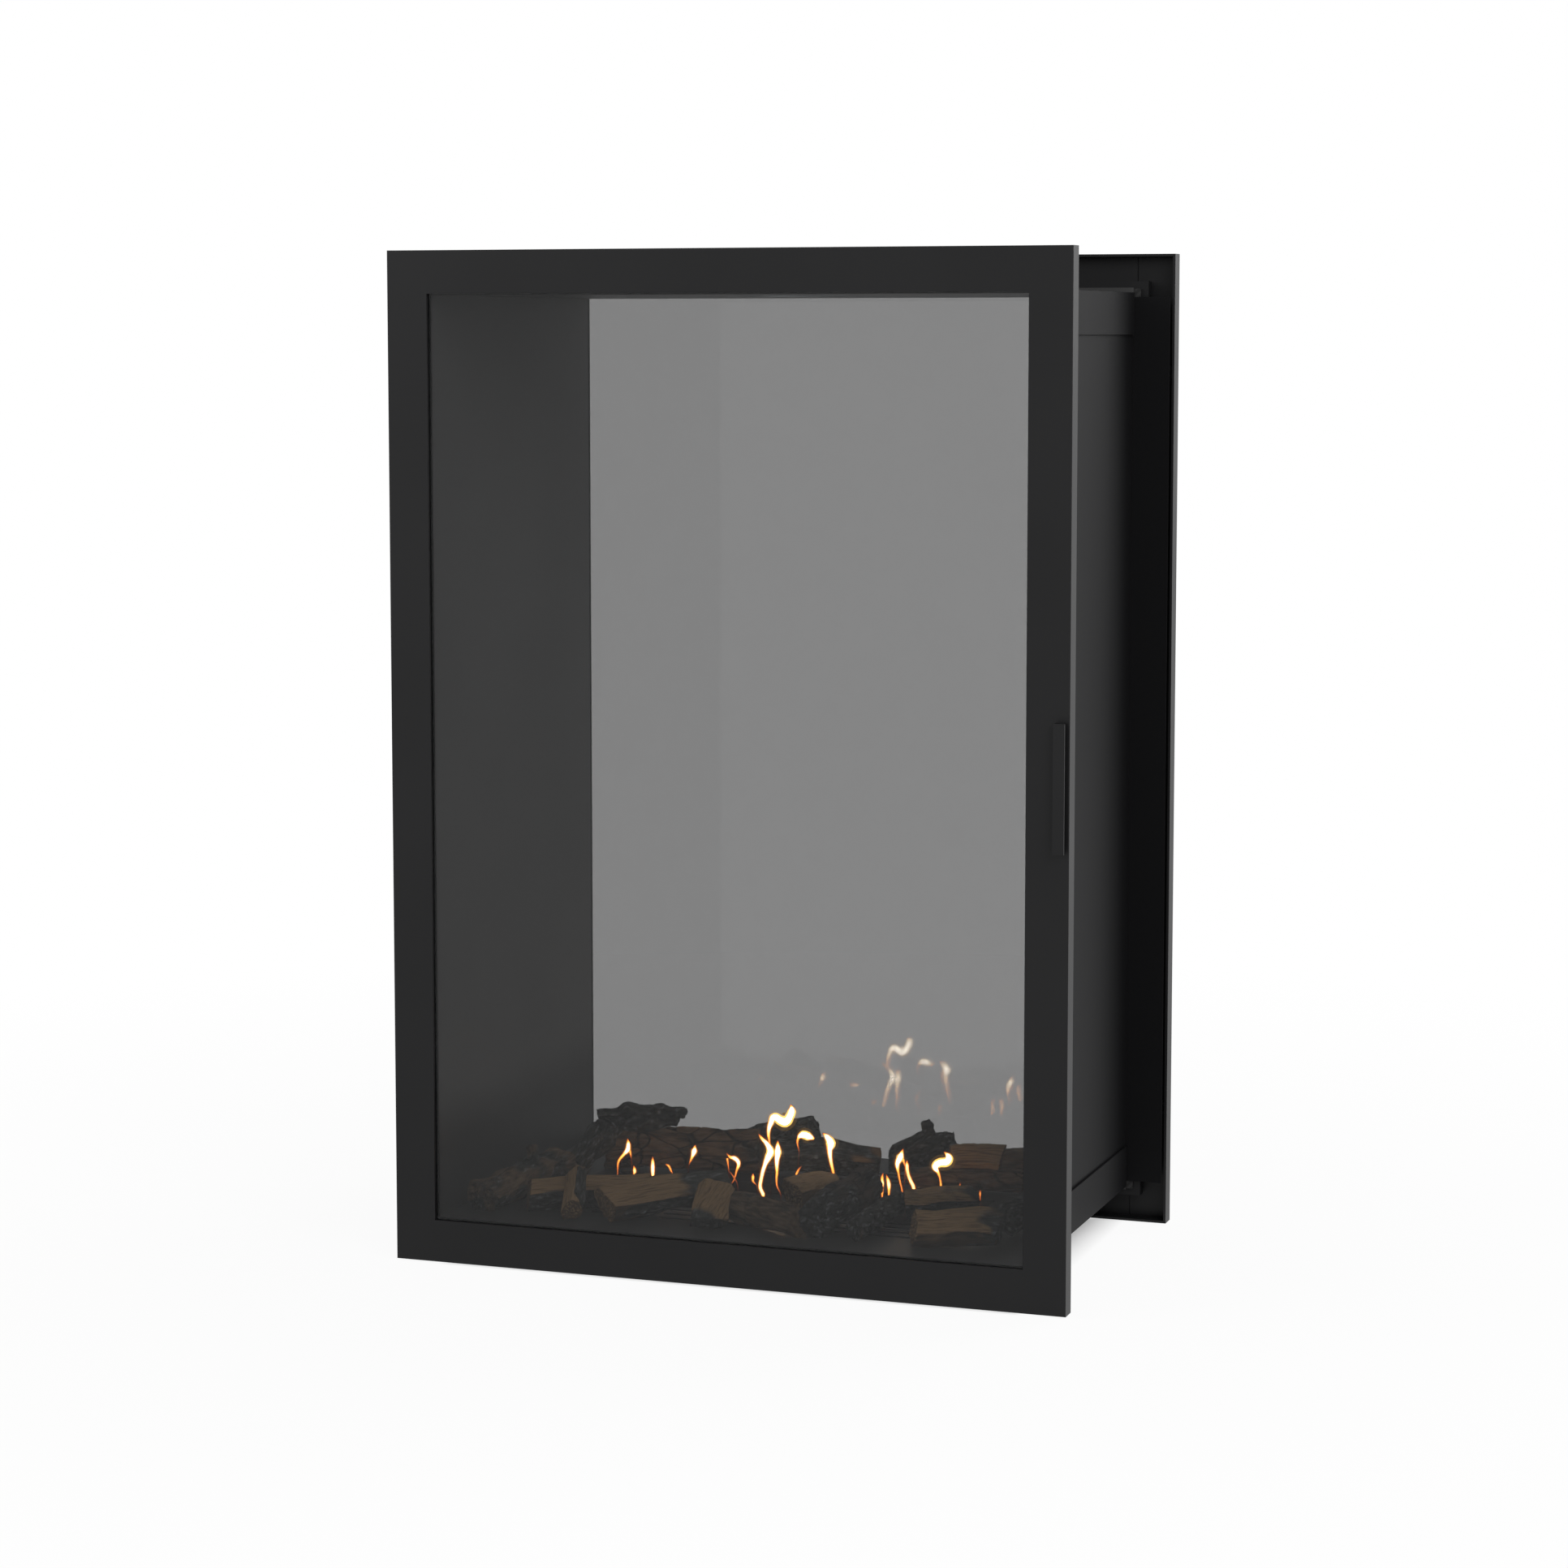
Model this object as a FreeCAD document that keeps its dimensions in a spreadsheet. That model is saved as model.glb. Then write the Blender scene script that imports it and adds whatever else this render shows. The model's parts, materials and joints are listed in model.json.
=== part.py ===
import FreeCAD, Part
import math
import os
import Sketcher

V = FreeCAD.Vector
doc = FreeCAD.newDocument("Fireplace")
sheet = doc.addObject("Spreadsheet::Sheet", "Size")


class Dim:
    """A size known both as a number and as an expression on the spreadsheet."""

    def __init__(self, value, text):
        self.value = float(value)
        self.text = text

    def __add__(self, other):
        other = dim(other)
        return Dim(self.value + other.value, f"({self.text} + {other.text})")

    def __sub__(self, other):
        other = dim(other)
        return Dim(self.value - other.value, f"({self.text} - {other.text})")

    def __mul__(self, other):
        other = dim(other)
        return Dim(self.value * other.value, f"({self.text} * {other.text})")

    def __truediv__(self, other):
        other = dim(other)
        return Dim(self.value / other.value, f"({self.text} / {other.text})")

    def __neg__(self):
        return Dim(-self.value, f"(0 - {self.text})")

    __radd__ = __add__


def dim(size):
    """Turn a plain number into a Dim and leave a Dim as it is."""
    if isinstance(size, Dim):
        return size
    text = str(size) if size >= 0 else f"(0 - {abs(size)})"
    return Dim(size, text)


rows = []


def size(alias, value):
    """Write one driving size (mm) into the sheet and return it as a Dim."""
    row = len(rows) + 1
    rows.append(alias)
    sheet.set(f"A{row}", alias)
    sheet.set(f"B{row}", str(value))
    sheet.setAlias(f"B{row}", alias)
    return Dim(value, f"Size.{alias}")


# Driving sizes in millimetres
frame_width = size("frame_width", 690)
frame_height = size("frame_height", 1000)
frame_border = size("frame_border", 42)
frame_depth = size("frame_depth", 19)
frame_sheet = size("frame_sheet", 2.5)
seam_width = size("seam_width", 1.2)
seam_depth = size("seam_depth", 1.2)
overall_depth = size("overall_depth", 417)
floor_gap = size("floor_gap", 2)
glass_thickness = size("glass_thickness", 4)
glass_overlap = size("glass_overlap", 6)
tape_thickness = size("tape_thickness", 0.5)
boss_floor = size("boss_floor", 0.5)
clamp_width = size("clamp_width", 14.5)
clamp_setback = size("clamp_setback", 3)
seat_gap = size("seat_gap", 3.5)
rope_width = size("rope_width", 6.5)
rope_clearance = size("rope_clearance", 0.5)
rope_gap = size("rope_gap", 0.3)
liner_inset = size("liner_inset", 1.5)
liner_sheet = size("liner_sheet", 1.5)
lip_gap = size("lip_gap", 1)
ceiling_lip = size("ceiling_lip", 9.5)
jamb_width = size("jamb_width", 39.5)
hem_height = size("hem_height", 9.5)
paper_thickness = size("paper_thickness", 1.5)
pan_sheet = size("pan_sheet", 1.5)
pan_setback = size("pan_setback", 8.5)
skirt_height = size("skirt_height", 42.5)
hinge_inset = size("hinge_inset", 7.5)
hinge_height = size("hinge_height", 760)
pin_radius = size("pin_radius", 2.5)
pin_play = size("pin_play", 0.05)
handle_height = size("handle_height", 122)
handle_width = size("handle_width", 11)
handle_reach = size("handle_reach", 10)
handle_sheet = size("handle_sheet", 2)
flue_radius = size("flue_radius", 65)
flue_sheet = size("flue_sheet", 1.5)
flue_flange = size("flue_flange", 20)
rail_end_margin = size("rail_end_margin", 71.5)
rail_width = size("rail_width", 30)
rail_sheet = size("rail_sheet", 2)
rail_inset = size("rail_inset", 12.5)
rail_bolt_inset = size("rail_bolt_inset", 40)
burner_end_margin = size("burner_end_margin", 76.5)
burner_side_margin = size("burner_side_margin", 106)
trough_end_margin = size("trough_end_margin", 20)
trough_side_margin = size("trough_side_margin", 35)
trough_depth = size("trough_depth", 11)
slot_bridge = size("slot_bridge", 22)
slot_width = size("slot_width", 7)
slot_row_pitch = size("slot_row_pitch", 17)

doc.recompute()

# Sizes that follow from the driving ones
opening_x = frame_width / 2 - frame_border
opening_z = frame_height / 2 - frame_border
door_middle = floor_gap + frame_height / 2
half_depth = overall_depth / 2
seat_y = half_depth - frame_depth - seat_gap
liner_x = opening_x - liner_inset
floor_top = floor_gap + frame_border + liner_inset
ceiling_low = floor_gap + frame_height - frame_border - liner_inset
pan_half = seat_y - pan_setback
rail_length = (liner_x - rail_end_margin) * 2
rail_spacing = (pan_half - rail_inset) * 2 - rail_width
rail_bolt_spacing = rail_length - rail_bolt_inset * 2
burner_length = (liner_x - burner_end_margin) * 2
burner_width = (seat_y - burner_side_margin) * 2
trough_length = burner_length - trough_end_margin * 2
trough_width = burner_width - trough_side_margin * 2
slot_pitch = burner_length * 0.16
slot_length = slot_pitch - slot_bridge


def show_body(name):
    return doc.addObject("PartDesign::Body", name)


def sketch_on(body, role, name, depth=0):
    """Sketch on one of the body's own origin planes, pushed back by depth."""
    sketch = body.newObject("Sketcher::SketchObject", name)
    plane = [f for f in body.Origin.OriginFeatures if f.Role == role][0]
    sketch.AttachmentSupport = [(plane, "")]
    sketch.MapMode = "FlatFace"
    depth = dim(depth)
    side = -1 if role == "XZ_Plane" else 1
    offset = depth if side > 0 else -depth
    sketch.AttachmentOffset = FreeCAD.Placement(V(0, 0, offset.value), FreeCAD.Rotation())
    sketch.setExpression("AttachmentOffset.Base.z", offset.text)
    return sketch


def tie(sketch, number, spot, x, y):
    """Tie one point of a sketch to the sheet, measured from the sketch's origin."""
    for kind, axis, place_at in (("DistanceX", -2, x), ("DistanceY", -1, y)):
        if abs(place_at.value) < 1e-9:
            sketch.addConstraint(Sketcher.Constraint("PointOnObject", number, spot, axis))
            continue
        link = sketch.addConstraint(Sketcher.Constraint(kind, -1, 1, number, spot, place_at.value))
        sketch.setExpression(f"Constraints[{link}]", place_at.text)


def profile(sketch, points):
    """Closed polygon whose corners are tied to the sheet."""
    first = sketch.GeometryCount
    count = len(points)
    points = [(dim(x), dim(y)) for x, y in points]
    for index in range(count):
        x0, y0 = points[index]
        x1, y1 = points[(index + 1) % count]
        line = Part.LineSegment(V(x0.value, y0.value, 0), V(x1.value, y1.value, 0))
        sketch.addGeometry(line, False)
    for index in range(count):
        follow = first + (index + 1) % count
        sketch.addConstraint(Sketcher.Constraint("Coincident", first + index, 2, follow, 1))
    for index, (x, y) in enumerate(points):
        tie(sketch, first + index, 1, x, y)


def rectangle(sketch, half_x, half_y):
    profile(sketch, [(-half_x, -half_y), (half_x, -half_y), (half_x, half_y), (-half_x, half_y)])


def ring(sketch, half_x, half_y, inner_x, inner_y):
    rectangle(sketch, half_x, half_y)
    rectangle(sketch, inner_x, inner_y)


def circles(sketch, centres, radius):
    """Round holes or bosses, each centre and radius tied to the sheet."""
    radius = dim(radius)
    for x, y in centres:
        x, y = dim(x), dim(y)
        circle = Part.Circle(V(x.value, y.value, 0), V(0, 0, 1), radius.value)
        number = sketch.addGeometry(circle, False)
        tie(sketch, number, 3, x, y)
        round_size = sketch.addConstraint(Sketcher.Constraint("Radius", number, radius.value))
        sketch.setExpression(f"Constraints[{round_size}]", radius.text)


def pad(body, sketch, length):
    """Pad towards +Y from XZ sketches and along the plane's normal from the others."""
    feature = body.newObject("PartDesign::Pad", sketch.Name + "Pad")
    feature.Profile = sketch
    length = dim(length)
    feature.Length = length.value
    feature.setExpression("Length", length.text)
    plane = sketch.AttachmentSupport[0][0]
    feature.Reversed = plane.Role == "XZ_Plane"
    sketch.Visibility = False
    return feature


def pocket(body, sketch, length, back=False):
    """Pocket towards +Y from XZ sketches and against the normal from the others."""
    feature = body.newObject("PartDesign::Pocket", sketch.Name + "Pocket")
    feature.Profile = sketch
    length = dim(length)
    feature.Length = length.value
    feature.setExpression("Length", length.text)
    feature.Reversed = back
    sketch.Visibility = False
    return feature


def round_edges(body, base, radius, chosen):
    """Fillet the edges of the last feature that the test picks."""
    doc.recompute()
    names = [f"Edge{i + 1}" for i, edge in enumerate(base.Shape.Edges) if chosen(edge)]
    feature = body.newObject("PartDesign::Fillet", base.Name + "Fillet")
    feature.Base = (base, names)
    feature.Radius = radius
    return feature


def place(obj, x, y, z, turn=0):
    """Stand an object at a place tied to the sheet, turned about the vertical."""
    x, y, z = dim(x), dim(y), dim(z)
    obj.Placement = FreeCAD.Placement(V(x.value, y.value, z.value), FreeCAD.Rotation(V(0, 0, 1), turn))
    obj.setExpression("Placement.Base.x", x.text)
    obj.setExpression("Placement.Base.y", y.text)
    obj.setExpression("Placement.Base.z", z.text)
    return obj


def block(name, x0, x1, y0, y1, z0, z1):
    """Box between two corners, every side tied to the sheet."""
    x0, x1, y0, y1, z0, z1 = [dim(v) for v in (x0, x1, y0, y1, z0, z1)]
    box = doc.addObject("Part::Box", name)
    for key, length in (("Length", x1 - x0), ("Width", y1 - y0), ("Height", z1 - z0)):
        setattr(box, key, length.value)
        box.setExpression(key, length.text)
    return place(box, x0, y0, z0)


def rod(name, radius, length, x, y, z, axis="z"):
    """Cylinder from a start point along one axis, tied to the sheet."""
    turns = {
        "z": FreeCAD.Rotation(),
        "x": FreeCAD.Rotation(V(0, 1, 0), 90),
        "y": FreeCAD.Rotation(V(1, 0, 0), -90),
    }
    radius, length = dim(radius), dim(length)
    cylinder = doc.addObject("Part::Cylinder", name)
    cylinder.Radius = radius.value
    cylinder.Height = length.value
    cylinder.setExpression("Radius", radius.text)
    cylinder.setExpression("Height", length.text)
    place(cylinder, x, y, z)
    spot = cylinder.Placement.Base
    cylinder.Placement = FreeCAD.Placement(spot, turns[axis])
    return cylinder


def fuse(name, pieces):
    joined = doc.addObject("Part::MultiFuse", name)
    joined.Shapes = pieces
    return joined


def cut(name, base, tool):
    left = doc.addObject("Part::Cut", name)
    left.Base = base
    left.Tool = tool
    return left


def repeat(name, master, places):
    """The same piece at several places, as one node."""
    doc.recompute()
    copies = []
    for placement in places:
        copy = master.Shape.copy()
        copy.Placement = placement.multiply(copy.Placement)
        copies.append(copy)
    node = doc.addObject("Part::Feature", name)
    node.Shape = Part.makeCompound(copies)
    return node


def move(x=0.0, y=0.0, z=0.0):
    return FreeCAD.Placement(V(x, y, z), FreeCAD.Rotation())


nodes = {}


def keep(name, obj):
    nodes[name] = obj
    return obj


# Screw places of the glass clamp, seen from the front with the door's middle at 0, 0
clamp_line_x = opening_x + 10.5
clamp_line_z = opening_z + 10.5
clamp_steps_z = [-opening_z * 0.9, -opening_z * 0.45, opening_z * 0.04, opening_z * 0.45, opening_z * 0.9]
clamp_steps_x = [-opening_x * 0.6, opening_x * 0.03, opening_x * 0.6]
clamp_screws = []
for step in clamp_steps_z:
    clamp_screws.append((-clamp_line_x, step))
    clamp_screws.append((clamp_line_x, step))
for step in clamp_steps_x:
    clamp_screws.append((step, -clamp_line_z))
    clamp_screws.append((step, clamp_line_z))

# The pane lies flat against the back of the face sheet, almost flush with the front of the door
glass_front = frame_sheet + tape_thickness
glass_back = glass_front + glass_thickness
hinge_x = -(frame_width / 2 - hinge_inset)
seat_depth = frame_depth + seat_gap


def door(side):
    """One glazed door. Depth 0 is its face; the rear door is the front one turned by half a turn."""
    turn = 0 if side == "front" else 180
    face_y = -half_depth if side == "front" else half_depth

    def stand(obj):
        return place(obj, 0, face_y, door_middle, turn)

    frame = show_body(f"{side}_door_frame")
    outline = sketch_on(frame, "XZ_Plane", f"{side}_frame_outline")
    ring(outline, frame_width / 2, frame_height / 2, opening_x, opening_z)
    plate = pad(frame, outline, frame_depth)
    width, height = frame_width.value / 2, frame_height.value / 2

    def front_rim(edge):
        ends = [v.Point for v in edge.Vertexes]
        flat = all(abs(p.y) < 0.01 for p in ends)
        outer = all(abs(abs(p.x) - width) < 0.01 and abs(abs(p.z) - height) < 0.01 for p in ends)
        return flat and outer

    round_edges(frame, plate, 0.8, front_rim)
    hollow = sketch_on(frame, "XZ_Plane", f"{side}_frame_hollow", frame_sheet)
    rectangle(hollow, frame_width / 2 - frame_sheet, frame_height / 2 - frame_sheet)
    pocket(frame, hollow, frame_depth - frame_sheet)
    bosses = sketch_on(frame, "XZ_Plane", f"{side}_boss_outline", frame_sheet)
    circles(bosses, clamp_screws, 3)
    pad(frame, bosses, glass_back - frame_sheet)
    bores = sketch_on(frame, "XZ_Plane", f"{side}_boss_bores", frame_sheet + boss_floor)
    circles(bores, clamp_screws, 1.6)
    pocket(frame, bores, glass_back - frame_sheet)
    seams = sketch_on(frame, "XZ_Plane", f"{side}_frame_seams", frame_sheet - seam_depth)
    seam_low, seam_high = opening_z + glass_overlap, frame_height / 2 - frame_sheet
    for across in (-1, 1):
        for upward in (-1, 1):
            near, far = opening_x * across, (opening_x - seam_width) * across
            profile(seams, [(near, seam_low * upward), (far, seam_low * upward),
                            (far, seam_high * upward), (near, seam_high * upward)])
    pocket(frame, seams, seam_depth)
    keep(f"{side}_door_frame", stand(frame))

    pane = show_body(f"{side}_glass")
    pane_outline = sketch_on(pane, "XZ_Plane", f"{side}_pane_outline", glass_front)
    rectangle(pane_outline, opening_x + glass_overlap, opening_z + glass_overlap)
    pad(pane, pane_outline, glass_thickness)
    keep(f"{side}_glass", stand(pane))

    tape = show_body(f"{side}_glass_tape")
    tape_outline = sketch_on(tape, "XZ_Plane", f"{side}_tape_outline", frame_sheet)
    ring(tape_outline, opening_x + glass_overlap, opening_z + glass_overlap, opening_x, opening_z)
    pad(tape, tape_outline, tape_thickness)
    keep(f"{side}_glass_tape", stand(tape))

    clamp = show_body(f"{side}_glass_clamp")
    clamp_outline = sketch_on(clamp, "XZ_Plane", f"{side}_clamp_outline", glass_back)
    ring(clamp_outline, opening_x + clamp_width, opening_z + clamp_width,
         opening_x + clamp_setback, opening_z + clamp_setback)
    pad(clamp, clamp_outline, frame_depth - glass_back)
    clamp_holes = sketch_on(clamp, "XZ_Plane", f"{side}_clamp_holes", glass_back)
    circles(clamp_holes, clamp_screws, 1.6)
    pocket(clamp, clamp_holes, frame_depth - glass_back)
    keep(f"{side}_glass_clamp", stand(clamp))

    head = rod(f"{side}_screw_head", 3, 1.8, 0, frame_depth, 0, "y")
    shank_start = frame_sheet + boss_floor + 0.5
    shank = rod(f"{side}_screw_shank", 1.6, frame_depth - shank_start, 0, shank_start, 0, "y")
    screw = fuse(f"{side}_clamp_screw", [head, shank])
    spots = [move(x.value, 0, z.value) for x, z in clamp_screws]
    keep(f"{side}_clamp_screws", stand(repeat(f"{side}_clamp_screws", screw, spots)))

    handle = show_body(f"{side}_handle")
    fold = sketch_on(handle, "XY_Plane", f"{side}_handle_fold", -handle_height / 2)
    left = frame_width / 2 - 13.5
    right = left + handle_width
    inner = left + handle_sheet
    profile(fold, [
        (left, 0), (left, -handle_reach), (right, -handle_reach), (right, -handle_reach + handle_sheet),
        (inner, -handle_reach + handle_sheet), (inner, -handle_sheet),
        (right - 2, -handle_sheet), (right - 2, 0),
    ])
    pad(handle, fold, handle_height)
    keep(f"{side}_handle", stand(handle))

    ear_low = block(f"{side}_ear_low", hinge_x - 5, hinge_x + 6, frame_sheet, frame_sheet + 10, -5.8, -2.8)
    ear_high = block(f"{side}_ear_high", hinge_x - 5, hinge_x + 6, frame_sheet, frame_sheet + 10, 2.8, 5.8)
    pin = rod(f"{side}_pin", pin_radius, 16, hinge_x, hinge_inset, -8)
    knuckle = fuse(f"{side}_knuckle", [ear_low, ear_high, pin])
    heights = [move(z=-hinge_height.value / 2), move(z=hinge_height.value / 2)]
    keep(f"{side}_hinge_knuckles", stand(repeat(f"{side}_hinge_knuckles", knuckle, heights)))

    strike = show_body(f"{side}_strike")
    hat = sketch_on(strike, "YZ_Plane", f"{side}_strike_hat", frame_width / 2 - 23)
    profile(hat, [
        (frame_sheet, -28), (frame_sheet + 1.5, -28), (frame_sheet + 1.5, -18.5),
        (8.5, -18.5), (8.5, -20), (10, -20), (10, 20), (8.5, 20), (8.5, 18.5),
        (frame_sheet + 1.5, 18.5), (frame_sheet + 1.5, 28), (frame_sheet, 28),
        (frame_sheet, 17), (8.5, 17), (8.5, -17), (frame_sheet, -17),
    ])
    pad(strike, hat, 14)
    keep(f"{side}_strike", stand(strike))

    arm_along = block(f"{side}_arm_along", hinge_x, hinge_x + 19.3,
                      hinge_inset - 2.3, hinge_inset + 2.3, -2.5, 2.5)
    arm_back = block(f"{side}_arm_back", hinge_x + 14.7, hinge_x + 19.3,
                     hinge_inset - 2.3, seat_depth, -2.5, 2.5)
    arm_foot = block(f"{side}_arm_foot", hinge_x + 8, hinge_x + 23, seat_depth - 3, seat_depth, -20, 20)
    eye = rod(f"{side}_eye", 4.4, 5, hinge_x, hinge_inset, -2.5)
    solid_arm = fuse(f"{side}_solid_arm", [arm_along, arm_back, arm_foot, eye])
    eye_hole = rod(f"{side}_eye_hole", pin_radius + pin_play, 7, hinge_x, hinge_inset, -3.5)
    arm = cut(f"{side}_arm", solid_arm, eye_hole)
    keep(f"{side}_hinge_arms", stand(repeat(f"{side}_hinge_arms", arm, heights)))

    magnet = block(f"{side}_magnet", frame_width / 2 - 23, frame_width / 2 - 9, 10.3, seat_depth, -25, 25)
    keep(f"{side}_catch_magnet", stand(repeat(f"{side}_catch_magnet", magnet, [move()])))

    rope = show_body(f"{side}_rope_seal")
    rope_outline = sketch_on(rope, "XZ_Plane", f"{side}_rope_outline", frame_depth + rope_gap)
    rope_in_x, rope_in_z = opening_x + rope_clearance, opening_z + rope_clearance
    ring(rope_outline, rope_in_x + rope_width, rope_in_z + rope_width, rope_in_x, rope_in_z)
    rope_pad = pad(rope, rope_outline, seat_gap - rope_gap)
    front_depth = frame_depth.value + rope_gap.value

    def soft_edge(edge):
        return all(abs(v.Point.y - front_depth) < 0.01 for v in edge.Vertexes)

    round_edges(rope, rope_pad, 1.4, soft_edge)
    keep(f"{side}_rope_seal", stand(rope))


door("front")
door("rear")


def upright(name, body_name, points, low, high):
    """Folded sheet with one plan outline, standing from low to high."""
    body = show_body(body_name)
    outline = sketch_on(body, "XY_Plane", body_name + "_outline", low)
    profile(outline, points)
    pad(body, outline, high - low)
    return keep(name, body)


wall_out = liner_x + liner_sheet
jamb_x = liner_x + jamb_width
# Past its seat every liner sheet runs on as a lip that ends just behind the glass
lip_y = half_depth - glass_back - lip_gap
for name, way in (("liner_left_wall", -1), ("liner_right_wall", 1)):
    inner, outer, edge = liner_x * way, wall_out * way, jamb_x * way
    upright(name, name, [
        (inner, -lip_y), (inner, lip_y), (outer, lip_y),
        (outer, seat_y), (edge, seat_y), (edge, seat_y - liner_sheet), (outer, seat_y - liner_sheet),
        (outer, -seat_y + liner_sheet), (edge, -seat_y + liner_sheet), (edge, -seat_y),
        (outer, -seat_y), (outer, -lip_y),
    ], floor_top, ceiling_low)

flue_screw_radius = flue_radius + flue_flange * 0.55
flue_screws = []
for number in range(6):
    angle = math.radians(60 * number + 30)
    flue_screws.append((flue_screw_radius * math.cos(angle), flue_screw_radius * math.sin(angle)))

rail_screws = []
for across in (-0.3, 0.3):
    for along in (-1, 1):
        rail_screws.append((rail_length * across, rail_spacing * along / 2))

# Ceiling sheet with upturned hems and the flue hole; its lips stop short, so that air can wash down the panes
ceiling = show_body("liner_ceiling")
ceiling_side = sketch_on(ceiling, "YZ_Plane", "ceiling_side", -wall_out)
ceiling_high = ceiling_low + liner_sheet
wash_y = seat_y + ceiling_lip
profile(ceiling_side, [
    (-wash_y, ceiling_low), (wash_y, ceiling_low), (wash_y, ceiling_high), (seat_y, ceiling_high),
    (seat_y, ceiling_low + hem_height), (seat_y - liner_sheet, ceiling_low + hem_height),
    (seat_y - liner_sheet, ceiling_high), (-seat_y + liner_sheet, ceiling_high),
    (-seat_y + liner_sheet, ceiling_low + hem_height), (-seat_y, ceiling_low + hem_height),
    (-seat_y, ceiling_high), (-wash_y, ceiling_high),
])
pad(ceiling, ceiling_side, wall_out * 2)
ceiling_hole = sketch_on(ceiling, "XY_Plane", "ceiling_hole", ceiling_high)
circles(ceiling_hole, [(0, 0)], flue_radius)
circles(ceiling_hole, flue_screws, 2)
pocket(ceiling, ceiling_hole, liner_sheet)
keep("liner_ceiling", ceiling)

# Floor sheet with downturned hems, burner opening and two bands of air slots
floor = show_body("liner_floor")
floor_side = sketch_on(floor, "YZ_Plane", "floor_side", -wall_out)
floor_low = floor_top - liner_sheet
profile(floor_side, [
    (-lip_y, floor_top), (lip_y, floor_top), (lip_y, floor_low), (seat_y, floor_low),
    (seat_y, floor_top - hem_height), (seat_y - liner_sheet, floor_top - hem_height),
    (seat_y - liner_sheet, floor_low), (-seat_y + liner_sheet, floor_low),
    (-seat_y + liner_sheet, floor_top - hem_height), (-seat_y, floor_top - hem_height),
    (-seat_y, floor_low), (-lip_y, floor_low),
])
pad(floor, floor_side, wall_out * 2)
burner_hole = sketch_on(floor, "XY_Plane", "burner_hole", floor_top)
rectangle(burner_hole, burner_length / 2 - 10, burner_width / 2 - 10)
pocket(floor, burner_hole, liner_sheet)
slot_columns = 7
slot_rows = 3
slot_start = burner_width / 2 + 14


def slot_outline(sketch, middle_x, middle_y):
    """One round-ended slot along X."""
    reach = slot_length / 2 - slot_width / 2
    half = slot_width / 2
    middle_x, middle_y = dim(middle_x), dim(middle_y)
    low = Part.LineSegment(V(middle_x.value - reach.value, middle_y.value - half.value, 0),
                           V(middle_x.value + reach.value, middle_y.value - half.value, 0))
    high = Part.LineSegment(V(middle_x.value + reach.value, middle_y.value + half.value, 0),
                            V(middle_x.value - reach.value, middle_y.value + half.value, 0))
    right_middle = V(middle_x.value + reach.value, middle_y.value, 0)
    left_middle = V(middle_x.value - reach.value, middle_y.value, 0)
    right_end = Part.ArcOfCircle(Part.Circle(right_middle, V(0, 0, 1), half.value),
                                 -math.pi / 2, math.pi / 2)
    left_end = Part.ArcOfCircle(Part.Circle(left_middle, V(0, 0, 1), half.value),
                                math.pi / 2, 3 * math.pi / 2)
    first = sketch.GeometryCount
    for piece in (low, right_end, high, left_end):
        sketch.addGeometry(piece, False)
    for index in range(4):
        follow = first + (index + 1) % 4
        sketch.addConstraint(Sketcher.Constraint("Tangent", first + index, 2, follow, 1))
    ends = ((first + 1, middle_x + reach, middle_y), (first + 3, middle_x - reach, middle_y))
    for arc, x, y in ends:
        tie(sketch, arc, 3, x, y)
    round_size = sketch.addConstraint(Sketcher.Constraint("Radius", first + 1, half.value))
    sketch.setExpression(f"Constraints[{round_size}]", half.text)


for band, way in (("front", -1), ("rear", 1)):
    slots = sketch_on(floor, "XY_Plane", f"{band}_slot", floor_top)
    slot_outline(slots, -slot_pitch * (slot_columns - 1) / 2, slot_start * way)
    opened = pocket(floor, slots, liner_sheet)
    row = floor.newObject("PartDesign::MultiTransform", f"{band}_slot_bands")
    along = floor.newObject("PartDesign::LinearPattern", f"{band}_slot_row")
    along.Direction = (slots, ["H_Axis"])
    along.Length = slot_pitch.value * (slot_columns - 1)
    along.setExpression("Length", (slot_pitch * (slot_columns - 1)).text)
    along.Occurrences = slot_columns
    across = floor.newObject("PartDesign::LinearPattern", f"{band}_slot_column")
    across.Direction = (slots, ["V_Axis"])
    across.Reversed = way < 0
    across.Length = slot_row_pitch.value * (slot_rows - 1)
    across.setExpression("Length", (slot_row_pitch * (slot_rows - 1)).text)
    across.Occurrences = slot_rows
    row.Originals = [opened]
    row.Transformations = [along, across]
    floor.Tip = row
keep("liner_floor", floor)


def lap(name, sheet_from, sheet_to, half_out, half_in, leg_end, half_depth_y):
    """Top or bottom sheet with two side legs, running front to back."""
    body = show_body(name)
    outline = sketch_on(body, "XZ_Plane", name + "_outline", -half_depth_y)
    profile(outline, [
        (-half_out, leg_end), (-half_out, sheet_to), (half_out, sheet_to), (half_out, leg_end),
        (half_in, leg_end), (half_in, sheet_from), (-half_in, sheet_from), (-half_in, leg_end),
    ])
    pad(body, outline, half_depth_y * 2)
    return body


paper_out = wall_out + paper_thickness
pan_out = paper_out + pan_sheet
paper_high = ceiling_high + paper_thickness
pan_high = paper_high + pan_sheet
paper_low = floor_low - paper_thickness
pan_low = paper_low - pan_sheet

top_paper = lap("top_paper", ceiling_high, paper_high, paper_out, wall_out,
                pan_high - skirt_height + 6, pan_half - 2)
top_pan = lap("top_pan", paper_high, pan_high, pan_out, paper_out, pan_high - skirt_height, pan_half)
for body, high, sheet_size in ((top_paper, paper_high, paper_thickness), (top_pan, pan_high, pan_sheet)):
    hole = sketch_on(body, "XY_Plane", body.Name + "_hole", high)
    circles(hole, [(0, 0)], flue_radius)
    circles(hole, flue_screws, 2)
    pocket(body, hole, sheet_size)
    keep(body.Name, body)

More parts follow.
